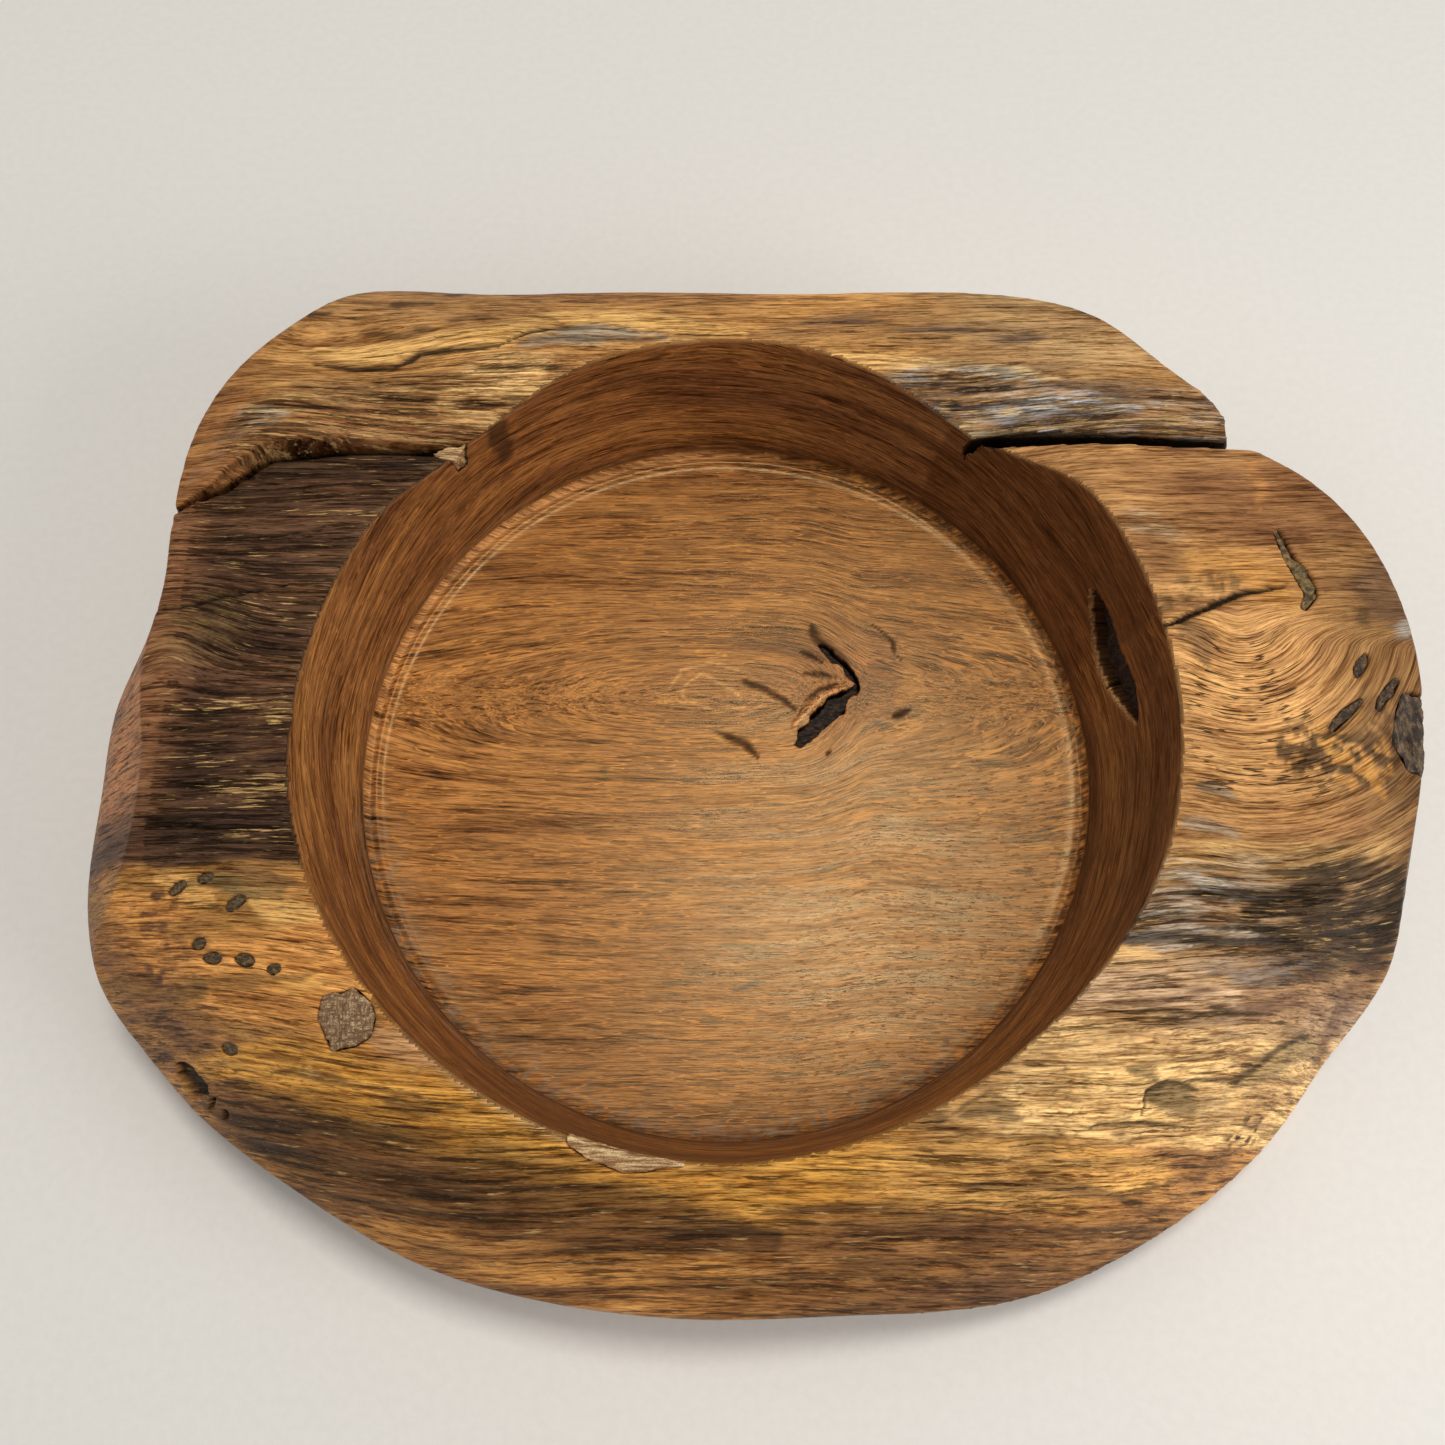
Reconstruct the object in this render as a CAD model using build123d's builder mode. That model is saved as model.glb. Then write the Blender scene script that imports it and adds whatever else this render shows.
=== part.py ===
from build123d import *

import math
import os

# A carved wooden bowl: one block of root wood, still in the rough shape of the root, with a
# round recess turned into its upper face. The block's underside is sawn flat. A long split runs
# along the back and parts a ridge from the rest of the rim. Everything else is natural matter
# that the wood holds: bark, dead knots, dried gum, a stub, a chip and a sliver.
#
# Frame: millimetres, +Z up, origin where the recess's axis meets the flat underside. The grain
# and the ridge run along X, and the ridge is at the back, at +Y.

# --- Driving dimensions -------------------------------------------------------------------
FLOOR_THICKNESS = 16.0  # wood left under the recess
FLOOR_RADIUS = 92.0  # of the recess, at its floor
WALL_LEAN = 0.18  # the wall's outward lean, in mm for each mm of height
BEAD_WIDTH = 2.6  # the turned bead where the floor meets the wall
BEAD_HEIGHT = 0.7
COVE_SIZE = 1.6  # the hollow between the bead and the wall
RIM_HEIGHT = 39.0  # of the rim over the recess's floor, on the plain left side
LOBE_RISE = 11.0  # how far the knotty lobe on the right stands above that
LEFT_SWELL = 3.0  # how far the rim swells up at the front left
LEFT_END_DROP = 2.0  # how far the upper face falls away at the left end
RIGHT_END_DROP = 5.0  # and at the right end
SPLIT_DROP_LEFT = 4.0  # how far it falls towards the split, left of the axis
SPLIT_DROP_RIGHT = 6.0  # and right of the axis
FRONT_DIP = 6.0  # depth of the shallow dip in the rim at the front right
FRONT_DROP = 24.0  # how far the front rolls down towards the belly
CREST_HEIGHT = 42.0  # of the back ridge's crest, over the recess's floor
CREST_DISTANCE = 26.0  # from the split to the crest
RIDGE_FOOT = 34.0  # height of the ridge's edge along the split, over the recess's floor
RIDGE_FOOT_RISE = 8.0  # how much higher that edge stands at both ends
RIDGE_LEFT_DROP = 7.0  # how far the ridge falls away at its left end
RIDGE_RIGHT_DROP = 5.0  # and at its right end
RIDGE_ROUNDING = 0.022  # how sharply the ridge rolls over at the back
CLEAR_HEIGHT = 110.0  # above everything, where cutting tools end
SKIN_OVERLAP = 3.0  # the ridge's skin starts this far in front of the split's centre

# The block's outline at its belly, clockwise from the ridge's right tip, one row per point:
# x, y, how far the side leans in by the shoulder, and how far it tucks under by the base.
OUTLINE = [
    (128.5, 71, 2, 11),
    (139, 61.5, 1, 12),
    (154, 42.5, 1, 13),
    (161, 19, 1, 14),
    (161.5, -7, 2, 14),
    (159, -32, 5, 13),
    (154.5, -54, 8, 12),
    (142.5, -80.5, 8, 12),
    (118.5, -103, 7, 12),
    (92, -118.5, 6, 13),
    (68, -127.5, 6, 14),
    (36, -129, 8, 15),
    (-5, -130, 8, 16),
    (-36, -127, 8, 16),
    (-67, -119, 8, 17),
    (-97, -103, 9, 17),
    (-126, -83.5, 11, 15),
    (-147, -57.5, 15, 10),
    (-153, -36, 18, 8),
    (-153.5, -10, 18, 8),
    (-150, 16.5, 12, 9),
    (-140, 29.5, 4, 7),
    (-136.5, 49, 1, 6),
    (-137.5, 71, 3, 8),
    (-131.5, 95.5, 6, 10),
    (-117, 114, 8, 11),
    (-101, 122.5, 6, 12),
    (-72, 122.5, 5, 13),
    (-30, 123.5, 5, 13),
    (20, 122.7, 5, 13),
    (76, 121, 5, 13),
    (101, 113, 6, 12),
    (118.5, 95.5, 5, 11),
    (128, 79, 3, 11),
]
# Levels of the block's loft: height, share of the tuck under, share of the lean, extra inset.
LEVELS = [
    (0.0, 1.0, 0.0, 0.0),
    (9.0, 0.35, 0.0, 0.0),
    (28.0, 0.0, 0.0, 0.0),
    (52.0, 0.0, 1.0, 0.0),
    (68.0, 0.0, 1.35, 5.0),
    (90.0, 0.0, 1.6, 16.0),
]

# The split's course over the upper face, left end to right end, as x and y. The recess takes
# its middle away. Each width belongs to the point above it.
SPLIT_LEFT = [(-160, 50), (-136, 54), (-124, 61), (-114, 70.5), (-94, 72.7), (-69, 72.4)]
SPLIT_LEFT_WIDTHS = [1.6, 1.6, 2.8, 2.6, 2.6, 2.4]
SPLIT_LEFT_BOTTOM = 40.0
SPLIT_RIGHT = [(60, 76), (68, 74.8), (84, 72.8), (110, 70.6), (150, 67.5)]
SPLIT_RIGHT_WIDTHS = [0.6, 3.0, 3.6, 4.2, 4.8]
SPLIT_RIGHT_BOTTOM = 35.0
SPLIT_CRUST = 3.5  # thickness of the bark crust along the bottom of the split

# Flaws that are seen from above, as outlines or courses of x and y.
FLOOR_KNOT = [
    (17.7, 5.5), (18.4, 10), (21.4, 13.1), (25.7, 17), (26.3, 18.9), (30.6, 20.2),
    (33, 22.7), (34.2, 21.4), (33.5, 18.9), (31, 15.7), (27.3, 11.9), (24.3, 9.3),
    (22.4, 6.8), (19.4, 4.9),
]  # fmt: skip
FLOOR_ARM = [(23.1, 36.5), (26.1, 33.2), (29, 29.9), (32, 26.7), (34.2, 23.4), (33.9, 20.4)]
FLOOR_ARM_WIDTHS = [0.8, 2.0, 2.4, 2.4, 2.0, 1.4]
FLOOR_KNOT_DEPTH = 5.0
FLOOR_KNOT_SINK = 1.6
BRANCH_STUB = [
    (-87.4, -69.5), (-86.9, -64.4), (-82, -63.6), (-79.6, -62.6), (-76, -65.8),
    (-74.6, -68.6), (-75.2, -72.8), (-78.6, -75), (-84.4, -75.9),
]  # fmt: skip
RIM_SPLINTER = [
    (-33, -92.5), (-26, -93), (-18, -95), (-9, -97.5), (-8.4, -99.4), (-13, -99.6),
    (-17, -100.6), (-21.5, -100.8), (-25, -99.2), (-29, -97.8), (-33.2, -95),
]  # fmt: skip
FISSURE_CHIP = [
    (-74, 71.8), (-71, 73.8), (-67.2, 74.4), (-64.6, 76),
    (-66.4, 71.4), (-68.4, 70), (-71, 70.2),
]  # fmt: skip
EDGE_BARK = [
    (148.1, -10.2), (150.1, -2.6), (152.5, 2.2), (156, 1.5), (170, 0), (170, -17),
    (154, -17.5), (150.6, -16.8),
]  # fmt: skip
GUM_COURSE = [(128, 44.5), (129.3, 39), (130.6, 35), (133.4, 29.5), (134.6, 25), (132, 21.3)]
GUM_WIDTHS = [1.0, 1.8, 2.6, 3.8, 3.2, 1.6]
BARK_STREAKS = [
    [(133.2, -9.4), (135.6, -6.2), (138.6, -3.4), (141.4, -1.2), (144.6, 1.8)],
    [(145.2, -3.8), (147, -0.4), (149.4, 2.2), (151.4, 4.6), (153.2, 7.4)],
    [(141.2, 4.4), (142.4, 6.4), (143.8, 8.4), (144.6, 9.8), (145.4, 11.6)],
]
STREAK_WIDTHS = [0.7, 2.2, 2.6, 1.7, 0.6]
# Centre x and y, length, width, and turn in degrees.
PIN_KNOTS = [
    (-121.6, -40.3, 5.0, 2.6, 25),
    (-115.0, -38.6, 4.4, 2.4, 10),
    (-107.4, -44.4, 5.6, 2.8, 30),
    (-116.0, -52.4, 4.2, 2.6, 5),
    (-112.6, -55.6, 5.4, 2.6, -5),
    (-104.8, -56.4, 5.4, 2.8, -12),
    (-97.8, -58.6, 4.0, 2.4, 5),
    (-109.7, -74.0, 5.2, 2.6, -15),
]
PIN_KNOT_BOTTOM = 36.0
PIN_KNOT_SINK = 0.7
# The lens of bark in the recess's right wall: its outline has x to the left and y up, as seen
# from the axis.
WALL_POCKET_TURN = 11.0  # degrees round from +X, where its middle lies
WALL_POCKET_HEIGHT = FLOOR_THICKNESS + 25.0
WALL_POCKET_LENS = [(-18, 4), (-10, -3), (2, -8), (13, -3), (19, 4), (12, 6), (0, 5), (-9, 7)]
WALL_POCKET_START = 84.0  # radius where the tool that cuts the pocket starts
WALL_POCKET_BACK = 104.0  # radius where the pocket ends
WALL_POCKET_FACE = 98.6  # radius of the bark's face

os.makedirs("parts", exist_ok=True)


# --- Shape of the upper face ----------------------------------------------------------------
def ease(value, start, end):
    """0 up to start, 1 from end, and a smooth step between them."""
    share = min(1.0, max(0.0, (value - start) / (end - start)))
    return share * share * (3 - 2 * share)


def along(points, x):
    """The y of a course of points at x, straight between the points."""
    for (x0, y0), (x1, y1) in zip(points, points[1:]):
        if x <= x1:
            return y0 + (y1 - y0) * (x - x0) / (x1 - x0)
    return points[-1][1]


def split_y(x):
    """Where the split, or its continuation over the recess, runs at x."""
    return along(SPLIT_LEFT + SPLIT_RIGHT, x)


def main_height(x, y):
    """Height of the upper face in front of the split."""
    height = RIM_HEIGHT + LOBE_RISE * ease(x, 40, 95) * ease(y, -95, -30)
    height += LEFT_SWELL * math.exp(-((x + 95) ** 2 + (y + 30) ** 2) / (2 * 28**2))
    height -= FRONT_DIP * math.exp(-((x - 45) ** 2 + (y + 95) ** 2) / (2 * 30**2))
    height -= LEFT_END_DROP * ease(-x, 105, 140)
    height -= RIGHT_END_DROP * ease(x, 120, 165) * ease(-y, -60, 60)
    to_split = SPLIT_DROP_LEFT * ease(-x, 0, 30) + SPLIT_DROP_RIGHT * ease(x, 0, 30)
    height -= to_split * ease(y, 48, 73)
    reach = max(0.0, math.hypot(0.86 * x, y) - 92) / 38
    height -= FRONT_DROP * ease(-y, 20, 80) * reach**1.8
    return FLOOR_THICKNESS + height


def ridge_height(x, y):
    """Height of the back ridge, which lies along X like a log."""
    foot = RIDGE_FOOT + RIDGE_FOOT_RISE * ease(abs(x), 55, 125)
    beyond = y - split_y(x)
    height = foot + (CREST_HEIGHT - foot) * ease(beyond, 0, CREST_DISTANCE)
    height -= RIDGE_ROUNDING * max(0.0, y - 104) ** 2
    height -= RIDGE_LEFT_DROP * ease(-x, 105, 150)
    height -= RIDGE_RIGHT_DROP * ease(x, 95, 145)
    return FLOOR_THICKNESS + height


def skin(height, rows):
    """A spline face through heights over a grid. rows gives the grid's y values at an x."""
    columns = [-190 + 12.5 * i for i in range(32)]
    return Face.make_surface_from_array_of_points(
        [[(x, y, height(x, y)) for y in rows(x)] for x in columns]
    )


def main_rows(x):
    return [-160 + (split_y(x) + 160) * i / 18 for i in range(19)]


def ridge_rows(x):
    start = split_y(x) - SKIN_OVERLAP
    return [start + (160 - start) * i / 10 for i in range(11)]


# --- Outlines -------------------------------------------------------------------------------
def level_points(tuck_share, lean_share, extra):
    """The block's outline, drawn in towards the recess's axis by each point's own amounts."""
    points = []
    for x, y, lean, tuck in OUTLINE:
        inset = tuck_share * tuck + lean_share * lean + extra
        scale = 1 - inset / math.hypot(x, y)
        points.append((x * scale, y * scale))
    return points


def ribbon(course, widths):
    """The corners of a strip of varying width that follows a course of points."""
    left, right = [], []
    last = len(course) - 1
    for i, ((x, y), width) in enumerate(zip(course, widths)):
        (x0, y0), (x1, y1) = course[max(0, i - 1)], course[min(last, i + 1)]
        length = math.hypot(x1 - x0, y1 - y0)
        across_x, across_y = -(y1 - y0) / length * width / 2, (x1 - x0) / length * width / 2
        left.append((x + across_x, y + across_y))
        right.append((x - across_x, y - across_y))
    return left + right[::-1]


def save(piece, name):
    piece.part.label = name
    export_step(piece.part, f"parts/{name}.step")


# --- The block, before the recess and the flaws are cut ----------------------------------------
main_skin = skin(main_height, main_rows)
ridge_skin = skin(ridge_height, ridge_rows)

with BuildPart() as block:
    for height, tuck_share, lean_share, extra in LEVELS:
        with BuildSketch(Plane.XY.offset(height)):
            with BuildLine():
                Spline(*level_points(tuck_share, lean_share, extra), periodic=True)
            make_face()
    loft()
    extrude(main_skin, amount=CLEAR_HEIGHT, dir=(0, 0, 1), mode=Mode.SUBTRACT)
    extrude(ridge_skin, amount=CLEAR_HEIGHT, dir=(0, 0, 1), mode=Mode.SUBTRACT)

# --- What the recess takes away -------------------------------------------------------------------
bead_start = FLOOR_RADIUS - COVE_SIZE - BEAD_WIDTH
bead_end = FLOOR_RADIUS - COVE_SIZE
wall_foot = FLOOR_THICKNESS + COVE_SIZE
foot_radius = FLOOR_RADIUS + WALL_LEAN * COVE_SIZE
top_radius = FLOOR_RADIUS + WALL_LEAN * (CLEAR_HEIGHT - FLOOR_THICKNESS)

with BuildPart() as recess:
    with BuildSketch(Plane.XZ):
        with BuildLine():
            Line((0, FLOOR_THICKNESS), (bead_start, FLOOR_THICKNESS))
            ThreePointArc(
                (bead_start, FLOOR_THICKNESS),
                (bead_start + BEAD_WIDTH / 2, FLOOR_THICKNESS + BEAD_HEIGHT),
                (bead_end, FLOOR_THICKNESS),
            )
            ThreePointArc(
                (bead_end, FLOOR_THICKNESS),
                (FLOOR_RADIUS - 0.35 * COVE_SIZE, FLOOR_THICKNESS + 0.3 * COVE_SIZE),
                (foot_radius, wall_foot),
            )
            Line((foot_radius, wall_foot), (top_radius, CLEAR_HEIGHT))
            Line((top_radius, CLEAR_HEIGHT), (0, CLEAR_HEIGHT))
            Line((0, CLEAR_HEIGHT), (0, FLOOR_THICKNESS))
        make_face()
    revolve(axis=Axis.Z)

# --- Natural matter in the wood -----------------------------------------------------------------
# Each piece fills the bottom of a pocket that is open upwards: its outline from above, the
# height of the pocket's bottom, and how far the piece's face lies under the wood's own surface.
inclusions = {
    "branch_stub": (BRANCH_STUB, 46.0, 0.4),
    "rim_splinter": (RIM_SPLINTER, 50.0, 0.2),
    "fissure_chip": (FISSURE_CHIP, 44.0, 0.6),
    "crack_gum": (ribbon(GUM_COURSE, GUM_WIDTHS), 60.0, 0.6),
    "edge_bark": (EDGE_BARK, 54.0, 0.4),
}
for number, course in enumerate(BARK_STREAKS, start=1):
    inclusions[f"bark_streak_{number}"] = (ribbon(course, STREAK_WIDTHS), 59.0, 0.5)

pockets = []
for name, (corners, bottom, sink) in inclusions.items():
    with BuildPart() as pocket:
        with BuildSketch(Plane.XY.offset(bottom)):
            Polygon(*corners, align=None)
        extrude(amount=CLEAR_HEIGHT - bottom)
    with BuildPart() as piece:
        add(pocket.part)
        add(Pos(0, 0, -sink) * block.part, mode=Mode.INTERSECT)
        add(recess.part, mode=Mode.SUBTRACT)
    save(piece, name)
    pockets.append(pocket.part)

for number, (x, y, length, width, turn) in enumerate(PIN_KNOTS, start=1):
    with BuildPart() as pocket:
        with BuildSketch(Plane.XY.offset(PIN_KNOT_BOTTOM)):
            with Locations(Location((x, y, 0), (0, 0, turn))):
                Ellipse(length / 2, width / 2)
        extrude(amount=CLEAR_HEIGHT - PIN_KNOT_BOTTOM)
    with BuildPart() as piece:
        add(pocket.part)
        add(Pos(0, 0, -PIN_KNOT_SINK) * block.part, mode=Mode.INTERSECT)
    save(piece, f"pin_knot_{number}")
    pockets.append(pocket.part)

# The knot of bark in the recess's floor.
with BuildPart() as floor_pocket:
    with BuildSketch(Plane.XY.offset(FLOOR_THICKNESS - FLOOR_KNOT_DEPTH)):
        Polygon(*FLOOR_KNOT, align=None)
        Polygon(*ribbon(FLOOR_ARM, FLOOR_ARM_WIDTHS), align=None)
    extrude(amount=FLOOR_KNOT_DEPTH + 1)
with BuildPart() as floor_knot_bark:
    with BuildSketch(Plane.XY.offset(FLOOR_THICKNESS - FLOOR_KNOT_DEPTH)):
        Polygon(*FLOOR_KNOT, align=None)
        Polygon(*ribbon(FLOOR_ARM, FLOOR_ARM_WIDTHS), align=None)
    extrude(amount=FLOOR_KNOT_DEPTH - FLOOR_KNOT_SINK)
save(floor_knot_bark, "floor_knot_bark")
pockets.append(floor_pocket.part)

# The lens of bark in the recess's right wall, on a plane that faces outwards from the axis.
turn = math.radians(WALL_POCKET_TURN)
outwards = (math.cos(turn), math.sin(turn), 0)
sideways = (-math.sin(turn), math.cos(turn), 0)


def wall_plane(radius):
    """An upright plane across a radius, with its x to the left as seen from the axis."""
    origin = (radius * outwards[0], radius * outwards[1], WALL_POCKET_HEIGHT)
    return Plane(origin=origin, x_dir=sideways, z_dir=outwards)


with BuildPart() as wall_pocket:
    with BuildSketch(wall_plane(WALL_POCKET_START)):
        with BuildLine():
            Spline(*WALL_POCKET_LENS, periodic=True)
        make_face()
    extrude(amount=WALL_POCKET_BACK - WALL_POCKET_START)
with BuildPart() as wall_pocket_bark:
    with BuildSketch(wall_plane(WALL_POCKET_FACE)):
        with BuildLine():
            Spline(*WALL_POCKET_LENS, periodic=True)
        make_face()
    extrude(amount=WALL_POCKET_BACK - WALL_POCKET_FACE)
save(wall_pocket_bark, "wall_pocket_bark")
pockets.append(wall_pocket.part)

# The split, and the bark crust along its bottom.
SPLITS = {
    "left_split_bark": (SPLIT_LEFT, SPLIT_LEFT_WIDTHS, SPLIT_LEFT_BOTTOM),
    "right_split_bark": (SPLIT_RIGHT, SPLIT_RIGHT_WIDTHS, SPLIT_RIGHT_BOTTOM),
}
for name, (course, widths, bottom) in SPLITS.items():
    with BuildPart() as split:
        with BuildSketch(Plane.XY.offset(bottom)):
            Polygon(*ribbon(course, widths), align=None)
        extrude(amount=CLEAR_HEIGHT - bottom)
    with BuildPart() as crust:
        with BuildSketch(Plane.XY.offset(bottom)):
            Polygon(*ribbon(course, widths), align=None)
        extrude(amount=SPLIT_CRUST)
        add(block.part, mode=Mode.INTERSECT)
        add(recess.part, mode=Mode.SUBTRACT)
    save(crust, name)
    pockets.append(split.part)

# --- The bowl ----------------------------------------------------------------------------------
with BuildPart() as bowl_body:
    add(block.part)
    add(recess.part, mode=Mode.SUBTRACT)
    for pocket_shape in pockets:
        add(pocket_shape, mode=Mode.SUBTRACT)
save(bowl_body, "bowl_body")
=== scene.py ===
"""The looks of a carved root-wood bowl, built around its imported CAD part.

The wood is one dense mesh grown from the CAD body. Its relief, its colour and the direction of
its grain are worked out for each vertex, in millimetres, in the part's own frame: X runs along
the grain, Y towards the back ridge, Z up, with the origin under the recess.
"""

import math

import bpy
import numpy as np
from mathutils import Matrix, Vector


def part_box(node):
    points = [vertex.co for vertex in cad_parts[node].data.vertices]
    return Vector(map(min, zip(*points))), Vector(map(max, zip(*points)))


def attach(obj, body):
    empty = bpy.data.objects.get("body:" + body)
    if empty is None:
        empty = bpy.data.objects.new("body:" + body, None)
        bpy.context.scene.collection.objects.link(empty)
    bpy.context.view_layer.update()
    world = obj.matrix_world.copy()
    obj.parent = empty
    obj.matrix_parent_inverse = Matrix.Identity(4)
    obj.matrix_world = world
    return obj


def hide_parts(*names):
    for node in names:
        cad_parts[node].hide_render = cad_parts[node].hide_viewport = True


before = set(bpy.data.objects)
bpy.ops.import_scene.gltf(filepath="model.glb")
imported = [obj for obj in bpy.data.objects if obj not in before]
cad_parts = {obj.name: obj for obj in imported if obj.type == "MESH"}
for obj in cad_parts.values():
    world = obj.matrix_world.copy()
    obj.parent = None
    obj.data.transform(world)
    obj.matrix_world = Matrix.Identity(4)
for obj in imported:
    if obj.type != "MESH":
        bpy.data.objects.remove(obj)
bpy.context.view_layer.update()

MM = 0.001
VOXEL = 0.72  # mesh pitch of the wood, mm
PIECE_VOXEL = 0.5  # mesh pitch of the small pieces, mm

# The recess, as the CAD has it, in mm.
KNOT_BARK_DROP = 1.6  # the knot's bark lies this far below the floor
FLOOR_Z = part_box("floor_knot_bark")[1].z / MM + KNOT_BARK_DROP
FLOOR_RADIUS = 92.0
WALL_LEAN = 0.18  # the wall's lean outwards, mm per mm of height
COVE_HEIGHT = 2.2  # the wall's own grain starts this far over the floor
BEAD_INSET = 2.6  # from the floor's edge to the bead's crest
RING_PITCH = 7.5  # of the dark rings round the eye
STREAK_HEIGHT = 12.0  # streaks on the outside change over this much height

# The split's course over the top, left to right, and where it narrows to nothing.
SPLIT = [
    (-160, 50), (-136, 54), (-124, 61), (-114, 70.5), (-94, 72.7), (-69, 72.4),
    (60, 76), (68, 74.8), (84, 72.8), (110, 70.6), (150, 67.5),
]
KNOT = (28.0, 21.0)  # the knot in the floor
EYE = (-7.0, 19.0)  # where the floor's rings close round themselves
LOBE = (117.0, 21.0)  # the centre of the lobe's swirling grain


# --- Noise and masks --------------------------------------------------------
def lattice(ix, iy, iz, seed):
    """A repeatable number from 0 to 1 for each point of a whole-number lattice."""
    h = ix * 374761393 + iy * 668265263 + iz * 1442695041 + seed * 974634777
    h = (h ^ (h >> 13)) & 0xFFFFFFFF
    h = (h * 1274126177) & 0xFFFFFFFF
    h = (h ^ (h >> 16)) & 0xFFFFFFFF
    return h.astype(np.float64) / 4294967295.0


def noise(x, y, z, seed=0):
    """Smooth noise from -1 to 1, with features about one unit across."""
    xf, yf, zf = np.floor(x), np.floor(y), np.floor(z)
    ix, iy, iz = xf.astype(np.int64), yf.astype(np.int64), zf.astype(np.int64)
    u, v, w = x - xf, y - yf, z - zf
    u, v, w = (t * t * t * (t * (t * 6 - 15) + 10) for t in (u, v, w))
    total = 0.0
    for dx in (0, 1):
        for dy in (0, 1):
            for dz in (0, 1):
                share = (u if dx else 1 - u) * (v if dy else 1 - v) * (w if dz else 1 - w)
                total = total + share * lattice(ix + dx, iy + dy, iz + dz, seed)
    return total * 2 - 1


def layers(x, y, z, seed=0, octaves=3):
    """Noise with finer noise added to it, from about -1 to 1."""
    total, size, weight = 0.0, 1.0, 0.0
    for i in range(octaves):
        total = total + noise(x / size, y / size, z / size, seed + 17 * i) * size
        weight += size
        size *= 0.5
    return total / weight * 1.5


def ease(v, a, b):
    """0 up to a, 1 from b on, and a smooth rise between them."""
    t = np.clip((v - a) / (b - a), 0, 1)
    return t * t * (3 - 2 * t)


def bump(v, width):
    """1 where v is 0, fading to almost nothing two widths away."""
    return np.exp(-((v / width) ** 2))


def course_distance(x, y, course):
    """Distance from each point to a course of points, and the share of the way along it."""
    best = np.full(x.shape, 1e9)
    share = np.zeros(x.shape)
    lengths = [math.dist(a, b) for a, b in zip(course, course[1:])]
    done = 0.0
    for (x0, y0), (x1, y1), length in zip(course, course[1:], lengths):
        t = np.clip(((x - x0) * (x1 - x0) + (y - y0) * (y1 - y0)) / length**2, 0, 1)
        d = np.hypot(x - x0 - t * (x1 - x0), y - y0 - t * (y1 - y0))
        nearer = d < best
        share = np.where(nearer, (done + t * length) / sum(lengths), share)
        best = np.where(nearer, d, best)
        done += length
    return best, share


def linear(r, g, b):
    """A colour of 0 to 255 steps as linear light."""
    c = np.array([r, g, b]) / 255.0
    return np.where(c <= 0.04045, c / 12.92, ((c + 0.055) / 1.055) ** 2.4)


# --- Meshes from the CAD ----------------------------------------------------
def remeshed(node, name, voxel):
    """A new even mesh over a CAD node's shape."""
    source = bpy.data.objects.new(name + "_source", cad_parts[node].data.copy())
    bpy.context.scene.collection.objects.link(source)
    weld = source.modifiers.new("weld", "WELD")
    weld.merge_threshold = 0.00002
    remesh = source.modifiers.new("remesh", "REMESH")
    remesh.mode = "VOXEL"
    remesh.voxel_size = voxel * MM
    shaped = source.evaluated_get(bpy.context.evaluated_depsgraph_get())
    mesh = bpy.data.meshes.new_from_object(shaped)
    bpy.data.objects.remove(source)
    mesh.name = name
    mesh.materials.clear()
    mesh.shade_smooth()
    return mesh


def positions(mesh):
    co = np.zeros(len(mesh.vertices) * 3, np.float32)
    mesh.vertices.foreach_get("co", co)
    return co.reshape(-1, 3).astype(np.float64) / MM


def normals(mesh):
    no = np.zeros(len(mesh.vertices) * 3, np.float32)
    mesh.vertex_normals.foreach_get("vector", no)
    return no.reshape(-1, 3).astype(np.float64)


def place(mesh, points):
    mesh.vertices.foreach_set("co", (points * MM).astype(np.float32).ravel())
    mesh.update()


def smoothed(mesh, points, weight, rounds):
    """points with each drawn towards the mean of its neighbours by weight."""
    edges = np.zeros(len(mesh.edges) * 2, np.int32)
    mesh.edges.foreach_get("vertices", edges)
    a, b = edges.reshape(-1, 2).T
    count = np.bincount(a, minlength=len(points)) + np.bincount(b, minlength=len(points))
    for _ in range(rounds):
        mean = np.empty_like(points)
        for i in range(3):
            total = np.bincount(a, points[b, i], len(points))
            total += np.bincount(b, points[a, i], len(points))
            mean[:, i] = total / count
        points = points + (mean - points) * weight[:, None]
    return points


def keep(mesh, name, values):
    """Stores values on the vertices for the materials to read."""
    kind = "FLOAT" if values.ndim == 1 else "FLOAT_VECTOR" if name == "grain" else "FLOAT_COLOR"
    attribute = mesh.attributes.new(name, kind, "POINT")
    if kind == "FLOAT":
        attribute.data.foreach_set("value", values.astype(np.float32))
    elif kind == "FLOAT_VECTOR":
        attribute.data.foreach_set("vector", values.astype(np.float32).ravel())
    else:
        rgba = np.concatenate([values, np.ones((len(values), 1))], axis=1)
        attribute.data.foreach_set("color", rgba.astype(np.float32).ravel())


def piece_from(mesh, name, material, nodes):
    piece = bpy.data.objects.new(name, mesh)
    bpy.context.scene.collection.objects.link(piece)
    mesh.materials.append(material)
    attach(piece, "root")
    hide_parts(*nodes)
    return piece


# --- The grain's direction --------------------------------------------------
def split_y(x):
    xs, ys = zip(*SPLIT)
    return np.interp(x, xs, ys)


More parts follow.
